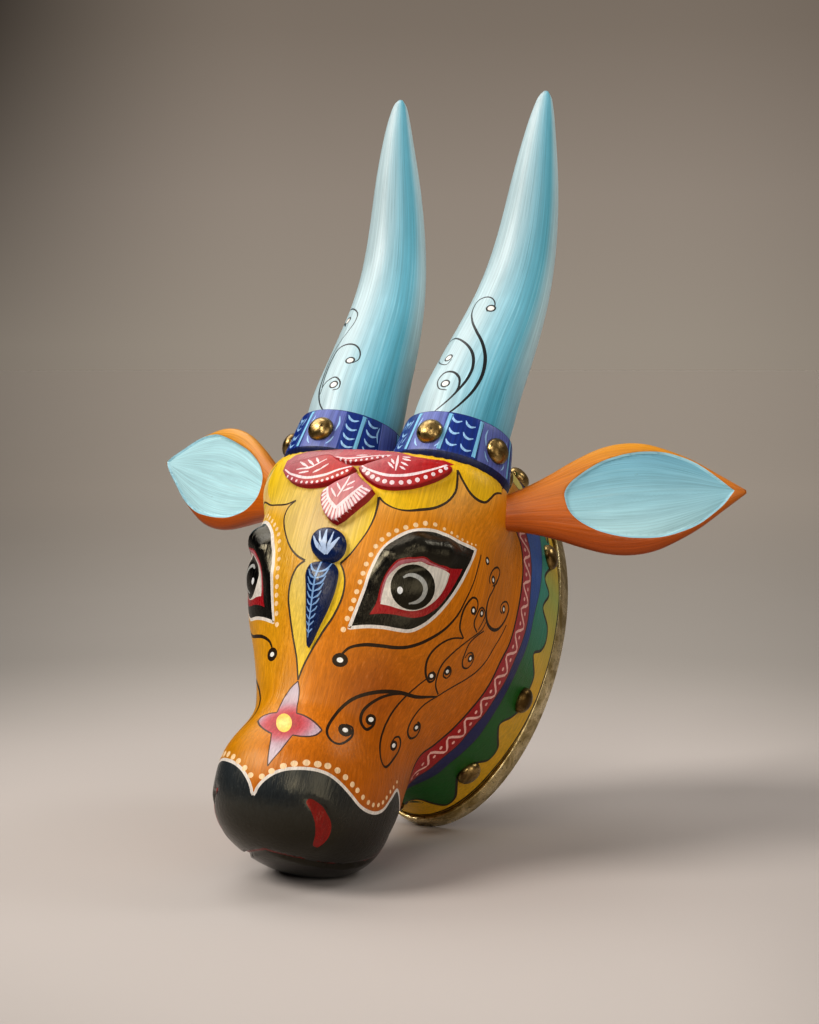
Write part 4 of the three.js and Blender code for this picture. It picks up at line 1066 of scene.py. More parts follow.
# Horns, collars and ears: places in the head's frame; radii or half heights and depths by share of length
HORN_ACROSS, HORN_FORWARD, HORN_TIP_ACROSS = 46, 178, 64.5
HORN_TOP, HORN_SWEEP, HORN_SAG = 538, 31, 20
HORN_RADII = [(0, 37), (0.07, 36.6), (0.17, 34.2), (0.27, 32), (0.4, 28.8), (0.58, 24.2), (0.75, 18.8),
              (0.866, 13.2), (0.946, 8.4), (0.985, 5), (1, 1.8)]
HORN_FOOT = 253
HORN_LOW = SEAT_HEIGHT + JOINT_GAP - HORN_FOOT
HORN_ROUND = 30
COLLAR_HEIGHT, COLLAR_BORE = 40, 37.3
COLLAR_PROFILE = [(0, 42.5), (1.2, 43.6), (5, 45.3), (6.5, 45.6), (8, 45.4), (35.5, 41.4), (37.5, 40.9),
                  (39.4, 40.3), (40, 39.6)]
COLLAR_ROUND = 44 * math.pi / 180
EAR_ROOT, EAR_TIP, EAR_LIFT, EAR_TILT = (70, 190, 170), (254, 243, 118), 8, math.radians(15)
EAR_PROFILE = np.array([
    (0, 11, 11), (0.117, 13, 11), (0.2, 17, 10.4), (0.29, 23.5, 9.6), (0.38, 31.5, 8.8), (0.464, 37.8, 8),
    (0.53, 40.6, 7.8), (0.597, 41, 7.5), (0.66, 39, 7.3), (0.734, 33.5, 7), (0.82, 25, 6.7), (0.9, 14.5, 6),
    (0.96, 6.5, 4.6), (1, 1.2, 1.4)])
EAR_ROUND = 24


def eased(rows, at):
    """A smooth reading of rows of (place, values)."""
    rows = np.array(rows, float)
    line = smooth_line(rows * ([200] + [1] * (rows.shape[1] - 1)), False, 0.5)
    return [np.interp(at, line[:, 0] / 200, line[:, k]) for k in range(1, rows.shape[1])]


def horn_axis(side, t):
    """The middle of the horn at a share of its height."""
    across = HORN_ACROSS + (HORN_TIP_ACROSS - HORN_ACROSS) * (0.6 * t + 0.4 * t * t * (3 - 2 * t))
    ahead = HORN_FORWARD + HORN_SWEEP * np.maximum(t, 0)**2.4 - HORN_SAG * np.sin(math.pi * t)**2
    return np.stack([side * across, HORN_FOOT + (HORN_TOP - HORN_FOOT) * t, ahead], -1)


def horn_skin(side):
    """The horn's surface by (turn, height), run down round into the collar."""
    def skin(q):
        q = np.asarray(q, float)
        a, t = q[..., 0] / HORN_ROUND, np.clip(q[..., 1] / (HORN_TOP - HORN_FOOT), 0, 1)
        along = unit(horn_axis(side, np.minimum(t + 0.004, 1)) - horn_axis(side, t - 0.004))
        across = unit(np.array([1.0, 0, 0]) - along * along[..., :1])
        ahead = np.cross(across, along)
        radius, = eased(HORN_RADII, t)
        ring = across * np.sin(a)[..., None] + ahead * np.cos(a)[..., None]
        place = horn_axis(side, t) + ring * radius[..., None]
        sunk = np.clip(q[..., 1:] / HORN_LOW, 0, 1)
        foot = np.stack([HORN_ACROSS * side + HORN_RADII[0][1] * np.sin(a),
                         np.full(a.shape, HORN_FOOT + HORN_LOW),
                         HORN_FORWARD + HORN_RADII[0][1] * np.cos(a)], -1)
        return place * (1 - sunk) + foot * sunk
    return skin


def collar_skin(side):
    rows = np.array(COLLAR_PROFILE, float)

    def skin(q):
        q = np.asarray(q, float)
        a, h = np.radians(q[..., 0] / COLLAR_ROUND), q[..., 1]
        radius = np.interp(h, rows[:, 0], rows[:, 1])
        return np.stack([HORN_ACROSS * side + radius * np.sin(a), SEAT_HEIGHT + JOINT_GAP + h,
                         HORN_FORWARD + radius * np.cos(a)], -1)
    return skin


def ear_frame(side):
    """The ear's root, its directions along, up and ahead, and its length."""
    root = np.array([EAR_ROOT[0] * side, EAR_ROOT[1], EAR_ROOT[2]], float)
    tip = np.array([EAR_TIP[0] * side, EAR_TIP[1] + (EAR_LIFT if side < 0 else 0), EAR_TIP[2]], float)
    length = np.linalg.norm(tip - root)
    along = (tip - root) / length
    up = np.array([0, math.cos(EAR_TILT), math.sin(EAR_TILT)])
    up = unit(up - along * (up @ along))
    ahead = np.cross(along, up) * -side
    return root, along, up, ahead if ahead[2] > 0 else -ahead, length


def ear_skin(side):
    root, along, up, ahead, length = ear_frame(side)

    def skin(q):
        q = np.asarray(q, float)
        b, s = -side * q[..., 0] / EAR_ROUND, np.clip(q[..., 1] / length, 0, 1)
        high, thick = eased(EAR_PROFILE, s)
        rise, out = np.sin(b), np.cos(b)
        rise, out = (np.sign(v) * np.abs(v)**(2 / 2.6) for v in (rise, out))
        bend = 3 * np.sin(math.pi * s)
        return (root + along * (s * length)[..., None] + up * (bend + rise * high)[..., None]
                + ahead * (out * thick)[..., None])
    return skin


HORN_SCROLLS = {
    1: [((0.8, 1.2, 1.5, 2.2, 2.8, 2.2, 1.2),
         [(487, 311), (494.5, 307), (495, 301), (491, 297), (485, 297), (478, 301), (473, 310),
          (472.8, 321), (477, 331), (483, 343), (485.7, 358), (482.5, 375), (473, 391), (460, 404),
          (448, 414)]),
        ((0.8, 1.1, 1.4, 2.4, 2.0, 1.0),
         [(452, 359), (447, 364), (439.5, 362), (438.2, 354), (443, 344.5), (453.6, 338.8), (465, 342),
          (473, 353), (473.3, 366), (468, 378), (459, 389), (448, 400), (435, 411)]),
        ((0.8, 1.4, 2.0, 1.2),
         [(447, 389.5), (439.5, 388), (438.5, 380), (445, 372.5), (453.5, 371.5), (459.5, 377),
          (459.5, 385), (455, 394)])],
    -1: [((1.2, 1.0, 1.2, 1.0, 0.9, 1.4, 1.8, 1.0),
          [(346, 326), (343.6, 320), (347, 311), (353.5, 308.6), (358, 313), (355.5, 321), (348.5, 331),
           (339, 344), (331, 358.5), (324.5, 375), (319.8, 391), (320.2, 403), (324, 412)]),
         ((0.8, 1.6, 1.6, 1.0),
          [(353, 362.5), (359, 359), (360.6, 352), (357, 345.5), (349, 343.7), (339, 348.6), (331.5, 361),
           (326, 375), (322.5, 387)]),
         ((0.8, 1.4, 1.2, 0.9),
          [(333, 389.5), (338.5, 388), (340.5, 381.5), (335.7, 376.6), (329, 379.7), (324, 385),
           (320.5, 394)])]}
HORN_SPOTS = {1: [(491.3, 307.8), (449, 357.4), (445.6, 383)],
              -1: [(348.3, 320.5), (350.5, 359.8), (334, 384)]}
EAR_SCOOP = {
    1: [[(735, 490), (718.5, 477.5), (698.3, 463.7), (673.8, 454), (649.4, 451), (621.8, 454.5),
         (594.3, 465), (570, 483), (564.8, 493.5), (567, 505), (576, 517.7), (594.3, 528.5),
         (618.8, 535.5), (649.4, 537.5), (680, 532), (704.5, 520.5), (722.5, 506), (735, 490)]],
    -1: [[(168, 461), (175, 448.5), (191, 438.5), (203, 434.5), (215, 434), (227, 437), (240, 444),
          (253, 454), (260.5, 465), (263, 476), (261, 488), (256, 499), (246, 509.5), (232, 516),
          (217, 517), (204, 514.5), (193, 509), (182, 501), (174, 492), (169, 477), (168, 461)]]}


def rolled(skin, half_width, low, high, step, ground, draw):
    """A painted strip rolled round a piece, its long edges joined at the back."""
    edge, loose = table_grid(half_width, low, high, step)
    sheet = Sheet(skin, edge, ground, 0.05)
    draw(sheet)
    place, faces, colour, flat = sheet.build(loose, step * STRIP_CLEAR)
    turn, radius = flat[:, 0] / half_width * math.pi, half_width / math.pi
    grain = np.stack([radius * np.sin(turn), radius * np.cos(turn), flat[:, 1]], -1) / 1000
    return place, faces, colour, grain


def draw_horn(side, skin, half_width, high):
    """The scrolls and the ringed spots of a horn."""
    def draw(sheet):
        for widths, px in HORN_SCROLLS[side]:
            sheet.stroke(seen_on(skin, px, half_width, 0, high), "horn_line", widths, 1.2)
        for q in seen_on(skin, HORN_SPOTS[side], half_width, 0, high):
            sheet.dot(q, "horn_line", 3.6, 1.15, sides=16)
            sheet.dot(q, "white_dot", 2.3, 1.2, sides=14)
    return draw


# Painting of each collar, in degrees from its front: pale stripes, dark panels with smiles at the heights,
# violet panels with the middle of their four strokes, and small ticks
COLLAR_PAINTING = {
    1: dict(stripes=(-21, 15, 48.5, 96, 124, 165, -124, -160, -66), dark=((18, 46), (99, 122), (-60, -26)),
            heights=(33, 23, 13), violet=((-19, 13, 0), (51, 93, 72), (127, 163, 145), (-158, -126, -142)),
            ticks=(-30, -36, -43)),
    -1: dict(stripes=(-21.5, 40, 88, 124, 165, -124, -160, -88),
             dark=((22, 38), (43, 60), (-60, -26), (92, 122)), heights=(34, 26, 18, 11),
             violet=((-19, 21, 1), (62, 86, 74), (127, 163, 145), (-158, -126, -142)),
             ticks=(-30, -37, -44, -52))}
WIDE_PANEL = 24


def draw_collar(painting):
    """The painting of a collar, by degrees round it and height in mm."""
    def at(points):
        return np.array([(a * COLLAR_ROUND, h) for a, h in points])

    def panel(sheet, a0, a1, paint, low=6.2, high=39.2):
        n = max(2, int(abs(a1 - a0) / 4))
        line = [(a, low) for a in np.linspace(a0, a1, n)] + [(a, high) for a in np.linspace(a1, a0, n)]
        sheet.add("area", at(line), paint)

    def brushed(sheet, points, paint, widths, step=1.0):
        sheet.stroke(at(points), paint, widths, step)

    def smile(sheet, a, h, s=1.0):
        line = [(a - 5.5 * s, h + 2.6), (a - 3.5 * s, h - 0.2), (a + 0.5, h - 1.8), (a + 5.5 * s, h - 0.4)]
        brushed(sheet, line, "collar_white", (0.7, 2.1, 1.9, 0.7))

    def draw(sheet):
        panel(sheet, -179.5, 179.5, "collar_blue")
        for a0, a1, _ in painting["violet"]:
            panel(sheet, a0, a1, "collar_violet")
        for a0, a1 in painting["dark"]:
            wide = a1 - a0
            for h in painting["heights"]:
                if wide > WIDE_PANEL:
                    smile(sheet, a0 + wide * 0.2, h + 1)
                    smile(sheet, a0 + wide * 0.72, h - 0.5)
                else:
                    smile(sheet, (a0 + a1) / 2, h, 1.1)
        for a in painting["stripes"]:
            brushed(sheet, [(a + 1.6, 38.6), (a, 24), (a - 1.6, 7.4)], "collar_line", (3.6, 3.0, 3.2), 2.0)
            brushed(sheet, [(a + 3.4, 38.6), (a + 1.9, 24), (a + 0.6, 7.4)], "collar_dark", 0.5, 2.0)
        for _, _, a in painting["violet"]:
            for k in (-1, 1):
                brushed(sheet, [(a + k * 14.5, 34), (a + k * 16, 28), (a + k * 14, 21)], "collar_white",
                        (0.5, 1.5, 0.5))
                brushed(sheet, [(a + k * 9, 9), (a + k * 12, 11.5), (a + k * 14.5, 16)], "collar_white",
                        (0.5, 1.4, 0.5))
        for a in painting["ticks"]:
            brushed(sheet, [(a + 3, 33), (a - 2, 27)], "collar_white", (0.6, 1.6, 0.6))
            brushed(sheet, [(a + 1, 19), (a - 3, 14)], "collar_white", (0.6, 1.4, 0.6))
        brushed(sheet, [(a, 39.7) for a in np.linspace(-179.4, 179.4, 60)], "collar_rim", 0.9, 3.0)
    return draw


def draw_ear(side, skin, half_width, high):
    """The scoop of an ear, cut in with its pale rim."""
    def draw(sheet):
        lines = [seen_on(skin, px, half_width, 0, high) for px in EAR_SCOOP[side]]
        ring = corners(lines, 1.6) if side > 0 else smooth_line(lines[0][:-1], True, 1.6)
        # the cow's left ear gets the shaded blue, the right ear its lit copy
        sheet.carve(ring, -1.6, -1.6, "ear_rim", "ear_blue" if side > 0 else "ear_blue_lit", 1.1)
    return draw


def skin_mesh(place, faces, colour, grain):
    """The painted skin as a bmesh in the head's own mm, each corner with its paint.

    Its triangles come from the cut chart, because no bmesh operator cuts a surface along painted lines.
    A rolled piece also keeps its place along the roll, for the run of its grain."""
    mesh = bpy.data.meshes.new("skin")
    mesh.from_pydata(place.tolist(), [], faces.tolist())
    mesh.attributes.new("paint", "FLOAT_COLOR", "CORNER").data.foreach_set(
        "color", colour.astype(np.float32).ravel())
    if grain.shape[1] == 3:
        mesh.attributes.new("grain", "FLOAT_VECTOR", "POINT").data.foreach_set(
            "vector", grain.astype(np.float32).ravel())
    bm = bmesh.new()
    bm.from_mesh(mesh)
    bpy.data.meshes.remove(mesh)
    open_ = {v for e in bm.edges if e.is_boundary for v in e.verts}
    bmesh.ops.remove_doubles(bm, verts=list(open_), dist=0.01)
    return bm


def open_edge(bm, test):
    """The edges along the skin's open rim for which test(place) holds."""
    return [e for e in bm.edges if e.is_boundary and test((e.verts[0].co + e.verts[1].co) / 2)]


def carry_on(bm, edges, move, material=1):
    """The open rim drawn on to a new place, with a strip of new faces; gives the new rim."""
    made = bmesh.ops.extrude_edge_only(bm, edges=edges)["geom"]
    verts = [g for g in made if isinstance(g, bmesh.types.BMVert)]
    new = move(np.array([v.co for v in verts], float))
    for v, p in zip(verts, new):
        v.co = p
    for g in made:
        if isinstance(g, bmesh.types.BMFace):
            g.material_index = material
    fresh = set(verts)
    return [g for g in made if isinstance(g, bmesh.types.BMEdge) and fresh.issuperset(g.verts)]


def close(bm, edges, material=1):
    """The open rim closed by a fan."""
    faces = bmesh.ops.holes_fill(bm, edges=edges, sides=0)["faces"]
    for f in bmesh.ops.poke(bm, faces=faces)["faces"]:
        f.material_index = material


def finished(bm, name, materials):
    """The bmesh as a piece of the scene, in the row frame in metres, with nothing below the ground."""
    bmesh.ops.recalc_face_normals(bm, faces=bm.faces)
    if bm.calc_volume(signed=True) < 0:
        bmesh.ops.reverse_faces(bm, faces=bm.faces)
    mesh = bpy.data.meshes.new(name)
    bm.to_mesh(mesh)
    bm.free()
    place = np.empty(len(mesh.vertices) * 3)
    mesh.vertices.foreach_get("co", place)
    place = row_frame(place.reshape(-1, 3))
    place[:, 2] = np.maximum(place[:, 2], 0)
    mesh.vertices.foreach_set("co", place.ravel())
    for material in materials:
        mesh.materials.append(material)
    mesh.shade_smooth()
    piece = bpy.data.objects.new(name, mesh)
    bpy.context.scene.collection.objects.link(piece)
    return piece


class Nodes:
    """A material's shader, node by node."""

    def __init__(self, name, grain=False, tree=None):
        self.grain = grain
        if tree:
            self.tree = tree
            return
        self.material = bpy.data.materials.new(name)
        self.material.use_nodes = True
        self.tree = self.material.node_tree
        self.shader = self.tree.nodes["Principled BSDF"]

    def add(self, kind, values=None, **settings):
        node = self.tree.nodes.new(kind)
        for word, value in settings.items():
            setattr(node, word, value)
        for slot, value in (values or {}).items():
            self.put(node.inputs[slot], value)
        return node

    def put(self, socket, value):
        if isinstance(value, bpy.types.NodeSocket):
            self.tree.links.new(value, socket)
        elif isinstance(value, bpy.types.Node):
            self.tree.links.new(value.outputs[0], socket)
        else:
            socket.default_value = value

    def sum(self, kind, a, b, clamp=False):
        node = self.add("ShaderNodeMath", operation=kind, use_clamp=clamp)
        self.put(node.inputs[0], a)
        self.put(node.inputs[1], b)
        return node.outputs[0]

    def mix(self, share, a, b, kind="MIX"):
        node = self.add("ShaderNodeMix", data_type="RGBA", blend_type=kind)
        self.put(node.inputs[0], share)
        self.put(node.inputs[6], a)
        self.put(node.inputs[7], b)
        return node.outputs[2]

    def place(self, stretch):
        """Coordinates along the piece's own grain, stretched, in grains a metre."""
        if self.grain:
            upright = self.add("ShaderNodeAttribute", attribute_name="grain").outputs["Vector"]
        else:
            where = self.add("ShaderNodeTexCoord").outputs["Object"]
            upright = self.add("ShaderNodeMapping", {"Vector": where, "Rotation": (LEAN, 0, 0)})
        return self.add("ShaderNodeVectorMath", {0: upright, 1: stretch}, operation="MULTIPLY").outputs[0]

    def noise(self, stretch, detail=3.0, rough=0.55, warp=0.0):
        return self.add("ShaderNodeTexNoise", {"Vector": self.place(stretch), "Scale": 1.0, "Detail": detail,
                                               "Roughness": rough, "Distortion": warp}).outputs[0]

    def ramp(self, value, low, high, a=0.0, b=1.0):
        node = self.add("ShaderNodeMapRange", {"Value": value, "From Min": low, "From Max": high,
                                               "To Min": a, "To Max": b}, interpolation_type="SMOOTHSTEP")
        return node.outputs[0]

    def bump(self, layers):
        """Layers of (height, depth in metres) laid over each other."""
        normal = None
        for height, depth in layers:
            node = self.add("ShaderNodeBump", {"Height": height, "Distance": depth, "Strength": 1.0})
            if normal is not None:
                self.put(node.inputs["Normal"], normal)
            normal = node.outputs[0]
        self.put(self.shader.inputs["Normal"], normal)

    def done(self, colour, roughness, metallic=0.0, **plain):
        self.put(self.shader.inputs["Base Color"], colour)
        self.put(self.shader.inputs["Roughness"], roughness)
        self.shader.inputs["Metallic"].default_value = metallic
        for word, value in plain.items():
            self.shader.inputs[word.replace("_", " ")].default_value = value
        return self.material


def rgb(code):
    return (*linear(code), 1.0)


def painted_wood(name, streak, pale, pale_colour, ridge, grain=True, gleam=(1.0, 1.0, 1.0, 1.0)):
    """Old paint on wood: the paint of each corner with the brush's and the wood's lines, pale brush streaks
    that are partly a painted sheen, dirt and wear.
    """
    n = Nodes(name, grain)
    paint = n.add("ShaderNodeVertexColor", layer_name="paint")
    base = paint.outputs["Color"]
    cloud = n.noise((15, 15, 9), 4)
    brush = n.noise((520, 520, 7), 3, 0.6, 0.2)
    fine = n.noise((1500, 1500, 24), 2)
    worn = n.noise((300, 300, 120), 6, 0.75)
    light = n.ramp(n.add("ShaderNodeRGBToBW", {"Color": base}), 0.02, 0.12)
    shade = n.sum("ADD", n.ramp(brush, 0.3, 0.7, 1 - streak, 1 + streak * 0.4),
                  n.ramp(fine, 0.3, 0.7, -0.08, 0.08))
    shade = n.sum("MULTIPLY", shade, n.ramp(cloud, 0.32, 0.68, 0.9, 1.05))
    grey = n.add("ShaderNodeCombineColor", {0: shade, 1: shade, 2: shade}).outputs[0]
    colour = n.mix(1.0, base, grey, "MULTIPLY")
    # pale brush streaks, partly a painted sheen
    pale_brush_and_sheen = n.sum("MULTIPLY", n.ramp(brush, 0.58, 0.74), n.ramp(cloud, 0.45, 0.65, 0.25, 1.0))
    colour = n.mix(n.sum("MULTIPLY", n.sum("MULTIPLY", pale_brush_and_sheen, pale), light), colour, rgb(pale_colour))
    dirt = n.sum("MULTIPLY", n.ramp(worn, 0.66, 0.74, 0, 0.5), n.ramp(light, 0, 1, 0.25, 1))
    colour = n.mix(dirt, colour, rgb("4A2C16"))
    rough = n.sum("ADD", paint.outputs["Alpha"], n.ramp(fine, 0.3, 0.75, -0.05, 0.09))
    rough = n.sum("ADD", rough, n.ramp(cloud, 0.35, 0.65, -0.03, 0.05), True)
    n.bump([(brush, ridge), (fine, ridge * 0.35), (worn, ridge * 0.3)])
    return n.done(colour, rough, Specular_IOR_Level=0.42, Specular_Tint=gleam)


def bare_wood(name):
    """The carver's undressed wood inside the mask, dry and darkened, with tool marks."""
    n = Nodes(name)
    grain = n.noise((300, 300, 8), 5, 0.6, 1.2)
    rings = n.noise((26, 26, 2.2), 3, 0.5, 0.8)
    stain = n.noise((9, 9, 6), 4)
    chips = n.add("ShaderNodeTexVoronoi", {"Vector": n.place((62, 62, 26)), "Scale": 1.0, "Smoothness": 0.35},
                  feature="SMOOTH_F1").outputs["Distance"]
    colour = n.mix(n.ramp(rings, 0.3, 0.7), rgb("A07C50"), rgb("7C5A36"))
    colour = n.mix(n.ramp(grain, 0.45, 0.7, 0, 0.6), colour, rgb("54391F"))
    colour = n.mix(n.ramp(stain, 0.5, 0.75, 0, 0.5), colour, rgb("4A3826"))
    n.bump([(chips, 0.0022), (grain, 0.0005)])
    return n.done(colour, n.ramp(grain, 0.3, 0.7, 0.62, 0.82))


def old_brass(name, bright, dull_code, bright_code):
    """Hammered brass, brown with age in blotches, rubbed bright where it is handled."""
    n = Nodes(name)
    blotch = n.noise((60, 60, 60), 5, 0.62, 0.6)
    speck = n.noise((420, 420, 420), 3, 0.6)
    beaten = n.add("ShaderNodeTexVoronoi", {"Vector": n.place((130, 130, 130)), "Scale": 1.0,
                                            "Smoothness": 0.6},
                   feature="SMOOTH_F1").outputs["Distance"]
    colour = n.mix(n.ramp(blotch, 0.36, 0.6), rgb(dull_code), rgb(bright_code))
    colour = n.mix(n.ramp(speck, 0.54, 0.74, 0, 0.7), colour, rgb("4A3C22"))
    rough = n.ramp(blotch, 0.35, 0.7, 0.42 - 0.12 * bright, 0.26 - 0.08 * bright)
    rough = n.sum("ADD", rough, n.ramp(speck, 0.45, 0.8, 0.0, 0.2))
    n.bump([(beaten, 0.0006), (speck, 0.00015)])
    return n.done(colour, rough, 1.0)


def turned_piece(profile, steps):
    """A profile of (radius, height) turned round the upright axis."""
    bm = bmesh.new()
    verts = [bm.verts.new((r, 0, h)) for r, h in profile]
    edges = [bm.edges.new(pair) for pair in zip(verts, verts[1:])]
    bmesh.ops.spin(bm, geom=verts + edges, cent=(0, 0, 0), axis=(0, 0, 1), angle=2 * math.pi, steps=steps,
                   use_merge=True)
    bmesh.ops.remove_doubles(bm, verts=bm.verts, dist=1e-4)
    return bm


def moved(bm, move):
    """Every point of the bmesh carried to its place by move."""
    new = move(np.array([v.co for v in bm.verts], float))
    for v, p in zip(bm.verts, new):
        v.co = p
    return bm


def nail(name, place, out, sides=40):
    """A brass dome nail, a little sunk in the wood."""
    arc = np.linspace(0, math.pi / 2, 9)
    dome = [(NAIL_RADIUS * math.sin(a)**0.95, NAIL_RISE * math.cos(a)) for a in arc]
    dome[0] = (0, NAIL_RISE)
    bm = turned_piece(dome + [(NAIL_RADIUS - 0.1, -1.2), (NAIL_RADIUS - 0.6, -3.2), (0, -3.2)], sides)
    out = unit(np.asarray(out, float))
    first = unit(np.cross([0.02, 1, 0.01], out))
    turn = np.stack([first, np.cross(out, first), out])
    return finished(moved(bm, lambda p: p @ turn + place), name, [nail_brass])


NAIL_RADIUS, NAIL_RISE = 10, 6.5
RIM_NAIL_TURNS, RIM_NAIL_FORWARD = (-25, 25, 65, 110, 141.5, 186, 218.5, 250, 295), 47
COLLAR_NAIL_TURNS, COLLAR_NAIL_HEIGHT = (0, 72, 144, -144), 21
COLLAR_WALL = ((6, 45.6), (36.5, 41.2))

# The finishes
head_paint = painted_wood("head_paint", 0.17, 0.07, "F4C890", 0.0003, False, (1.0, 0.87, 0.58, 1.0))
horn_paint = painted_wood("horn_paint", 0.14, 0.36, "E8F4F4", 0.00025)
collar_paint = painted_wood("collar_paint", 0.3, 0.3, "9CB4DC", 0.0003)
ear_paint = painted_wood("ear_paint", 0.13, 0.14, "F0D8B0", 0.0003)
inner_wood = bare_wood("inner_wood")
rim_brass = old_brass("rim_brass", 0.4, "A8925C", "E8D4A4")
nail_brass = old_brass("nail_brass", 0.6, "5A4626", "AE9260")


def carved_head():
    """The painted head closed behind by the step for the hoop, the back edge and the hollow."""
    bm = skin_mesh(*painted_head().build(chart_grid(HEAD_STEP, HEAD_FAR), HEAD_CLEAR))
    rim = open_edge(bm, lambda p: True)

    def oval(half_width, half_height, deep):
        def move(p):
            turn = np.arctan2(p[:, 0] / BACK_HALF_WIDTH, (p[:, 1] - BACK_CENTRE) / BACK_HALF_HEIGHT)
            return np.stack([half_width * np.sin(turn), BACK_CENTRE + half_height * np.cos(turn),
                             np.full(len(p), float(deep))], -1)
        return move
    rim = carry_on(bm, rim, oval(BACK_HALF_WIDTH - 0.1, BACK_HALF_HEIGHT - 0.1, HOOP_DEPTH + 0.3))
    rim = carry_on(bm, rim, oval(BACK_HALF_WIDTH - 0.1, BACK_HALF_HEIGHT - 0.1, 0.8))
    rim = carry_on(bm, rim, oval(BACK_HALF_WIDTH - 0.9, BACK_HALF_HEIGHT - 0.9, 0))
    wide, high, deep = HOLLOW_SIZE
    rim = carry_on(bm, rim, oval(wide + 1.5, high + 1.5, 0))
    rim = carry_on(bm, rim, oval(wide + 0.3, high + 0.3, 0.6))
    for t in np.concatenate([np.linspace(0.01, 0.7, 14), np.linspace(0.74, 8 / 8.4, 9)]):
        shrink = (1 - t**2.4)**(1 / 2.4)
        rim = carry_on(bm, rim, oval(wide * shrink, high * shrink, deep * t))
    close(bm, rim)
    piece = finished(bm, "head_piece", [head_paint, inner_wood])
    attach(piece, "root")
    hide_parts("head")


def horn(side, word):
    """A painted horn, closed at the tip and at the foot inside its collar."""
    half_width, high = math.pi * HORN_ROUND, HORN_TOP - HORN_FOOT
    skin = horn_skin(side)
    bm = skin_mesh(*rolled(skin, half_width, HORN_LOW, high, HORN_STEP, f"horn_{side}",
                           draw_horn(side, skin, half_width, high)))
    close(bm, open_edge(bm, lambda p: p[1] > 400), 0)
    close(bm, open_edge(bm, lambda p: p[1] < 300), 1)
    piece = finished(bm, f"horn_piece_{word}", [horn_paint, inner_wood])
    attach(piece, "root")
    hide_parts(f"horn_{word}")


def collar(side, word):
    """A painted collar with its bore and its foot."""
    half_width = math.pi * math.degrees(COLLAR_ROUND)
    bm = skin_mesh(*rolled(collar_skin(side), half_width, 0, COLLAR_HEIGHT, STRIP_STEP, "collar_foot",
                           draw_collar(COLLAR_PAINTING[side])))
    low, foot = SEAT_HEIGHT + JOINT_GAP, 1e-3
    middle = np.array([HORN_ACROSS * side, 0, HORN_FORWARD])

    def ring(radius, h):
        def move(p):
            out = (p - middle) * (1, 0, 1)
            return unit(out) * radius + middle + (0, low + h, 0)
        return move
    rim = open_edge(bm, lambda p: p[1] > low + 20)
    rim = carry_on(bm, rim, ring(COLLAR_BORE + 0.4, COLLAR_HEIGHT), 0)
    rim = carry_on(bm, rim, ring(COLLAR_BORE, COLLAR_HEIGHT - 0.5))
    rim = carry_on(bm, rim, ring(COLLAR_BORE, foot))
    rim = carry_on(bm, rim, ring(COLLAR_PROFILE[0][1], 0))
    bmesh.ops.remove_doubles(bm, verts=[v for v in bm.verts if v.is_boundary], dist=0.02)
    piece = finished(bm, f"collar_piece_{word}", [collar_paint, inner_wood])
    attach(piece, "root")
    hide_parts(f"collar_{word}")


def ear(side, word):
    """A painted ear with its scoop, closed at the tip and at the root inside the head."""
    length = ear_frame(side)[-1]
    half_width, skin = math.pi * EAR_ROUND, ear_skin(side)
    bm = skin_mesh(*rolled(skin, half_width, 0, length, STRIP_STEP, "ear",
                           draw_ear(side, skin, half_width, length)))
    close(bm, open_edge(bm, lambda p: abs(p[0]) > EAR_ROOT[0] + 60), 0)
    close(bm, open_edge(bm, lambda p: abs(p[0]) < EAR_ROOT[0] + 60), 0)
    piece = finished(bm, f"ear_piece_{word}", [ear_paint])
    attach(piece, "root")
    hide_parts(f"ear_{word}")


def hoop():
    inner, outer, soft = JOINT_GAP, JOINT_GAP + HOOP_THICK, 0.7
    section = [(inner, 0), (outer - 0.3, 0), (outer, 0.4), (outer, HOOP_DEPTH - soft),
               (outer - 0.2, HOOP_DEPTH - 0.25), (outer - soft, HOOP_DEPTH), (inner + 0.4, HOOP_DEPTH),
               (inner, HOOP_DEPTH - 0.4), (inner, 0)]
    bm = turned_piece([(100 + off, d) for off, d in section], 288)

    def onto_oval(p):
        off, turn = np.hypot(p[:, 0], p[:, 1]) - 100, np.arctan2(p[:, 0], p[:, 1])
        return np.stack([(BACK_HALF_WIDTH + off) * np.sin(turn),
                         BACK_CENTRE + (BACK_HALF_HEIGHT + off) * np.cos(turn), p[:, 2]], -1)
    piece = finished(moved(bm, onto_oval), "rim_hoop", [rim_brass])
    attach(piece, "root")
    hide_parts("rim_band")


def nails():
    turns = np.array(RIM_NAIL_TURNS, float)
    place = head_skin(side_place(turns, np.full(len(turns), float(RIM_NAIL_FORWARD))))
    out = slope(plain_field, place)
    for k, (p, o) in enumerate(zip(place, out), 1):
        piece = nail(f"rim_dome_{k}", p + o * 1.1, o)
        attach(piece, "root")
        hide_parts(f"rim_nail_{k}")
    for word, side in (("left", 1), ("right", -1)):
        for k, turn in enumerate(COLLAR_NAIL_TURNS, 1):
            a, h = math.radians(turn) * side, COLLAR_NAIL_HEIGHT
            (h0, r0), (h1, r1) = COLLAR_WALL
            r = r0 - (r0 - r1) * (h - h0) / (h1 - h0)
            out = unit(np.array([math.sin(a), 0.17, math.cos(a)]))
            p = np.array([HORN_ACROSS * side + r * math.sin(a), SEAT_HEIGHT + JOINT_GAP + h,
                          HORN_FORWARD + r * math.cos(a)])
            piece = nail(f"collar_dome_{word}_{k}", p + out * 0.5, out)
            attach(piece, "root")
            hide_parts(f"collar_nail_{word}_{k}")


# The horns' blue by how far across the horn, from the cow's right to its left: paler on the lit side as
# painted light, teal beyond as painted shade, then a pale painted reflection at the edge
HORN_LIGHT_ACROSS = (-1.0, -0.5, 0.0, 0.35, 0.62, 0.84, 1.0)
HORN_LIGHT_SHADE_CODES = ("B8CDD1", "B8CDD1", "A0CFDC", "78C0D3", "66B6C9", "B8D7DD", "CFE6EA")


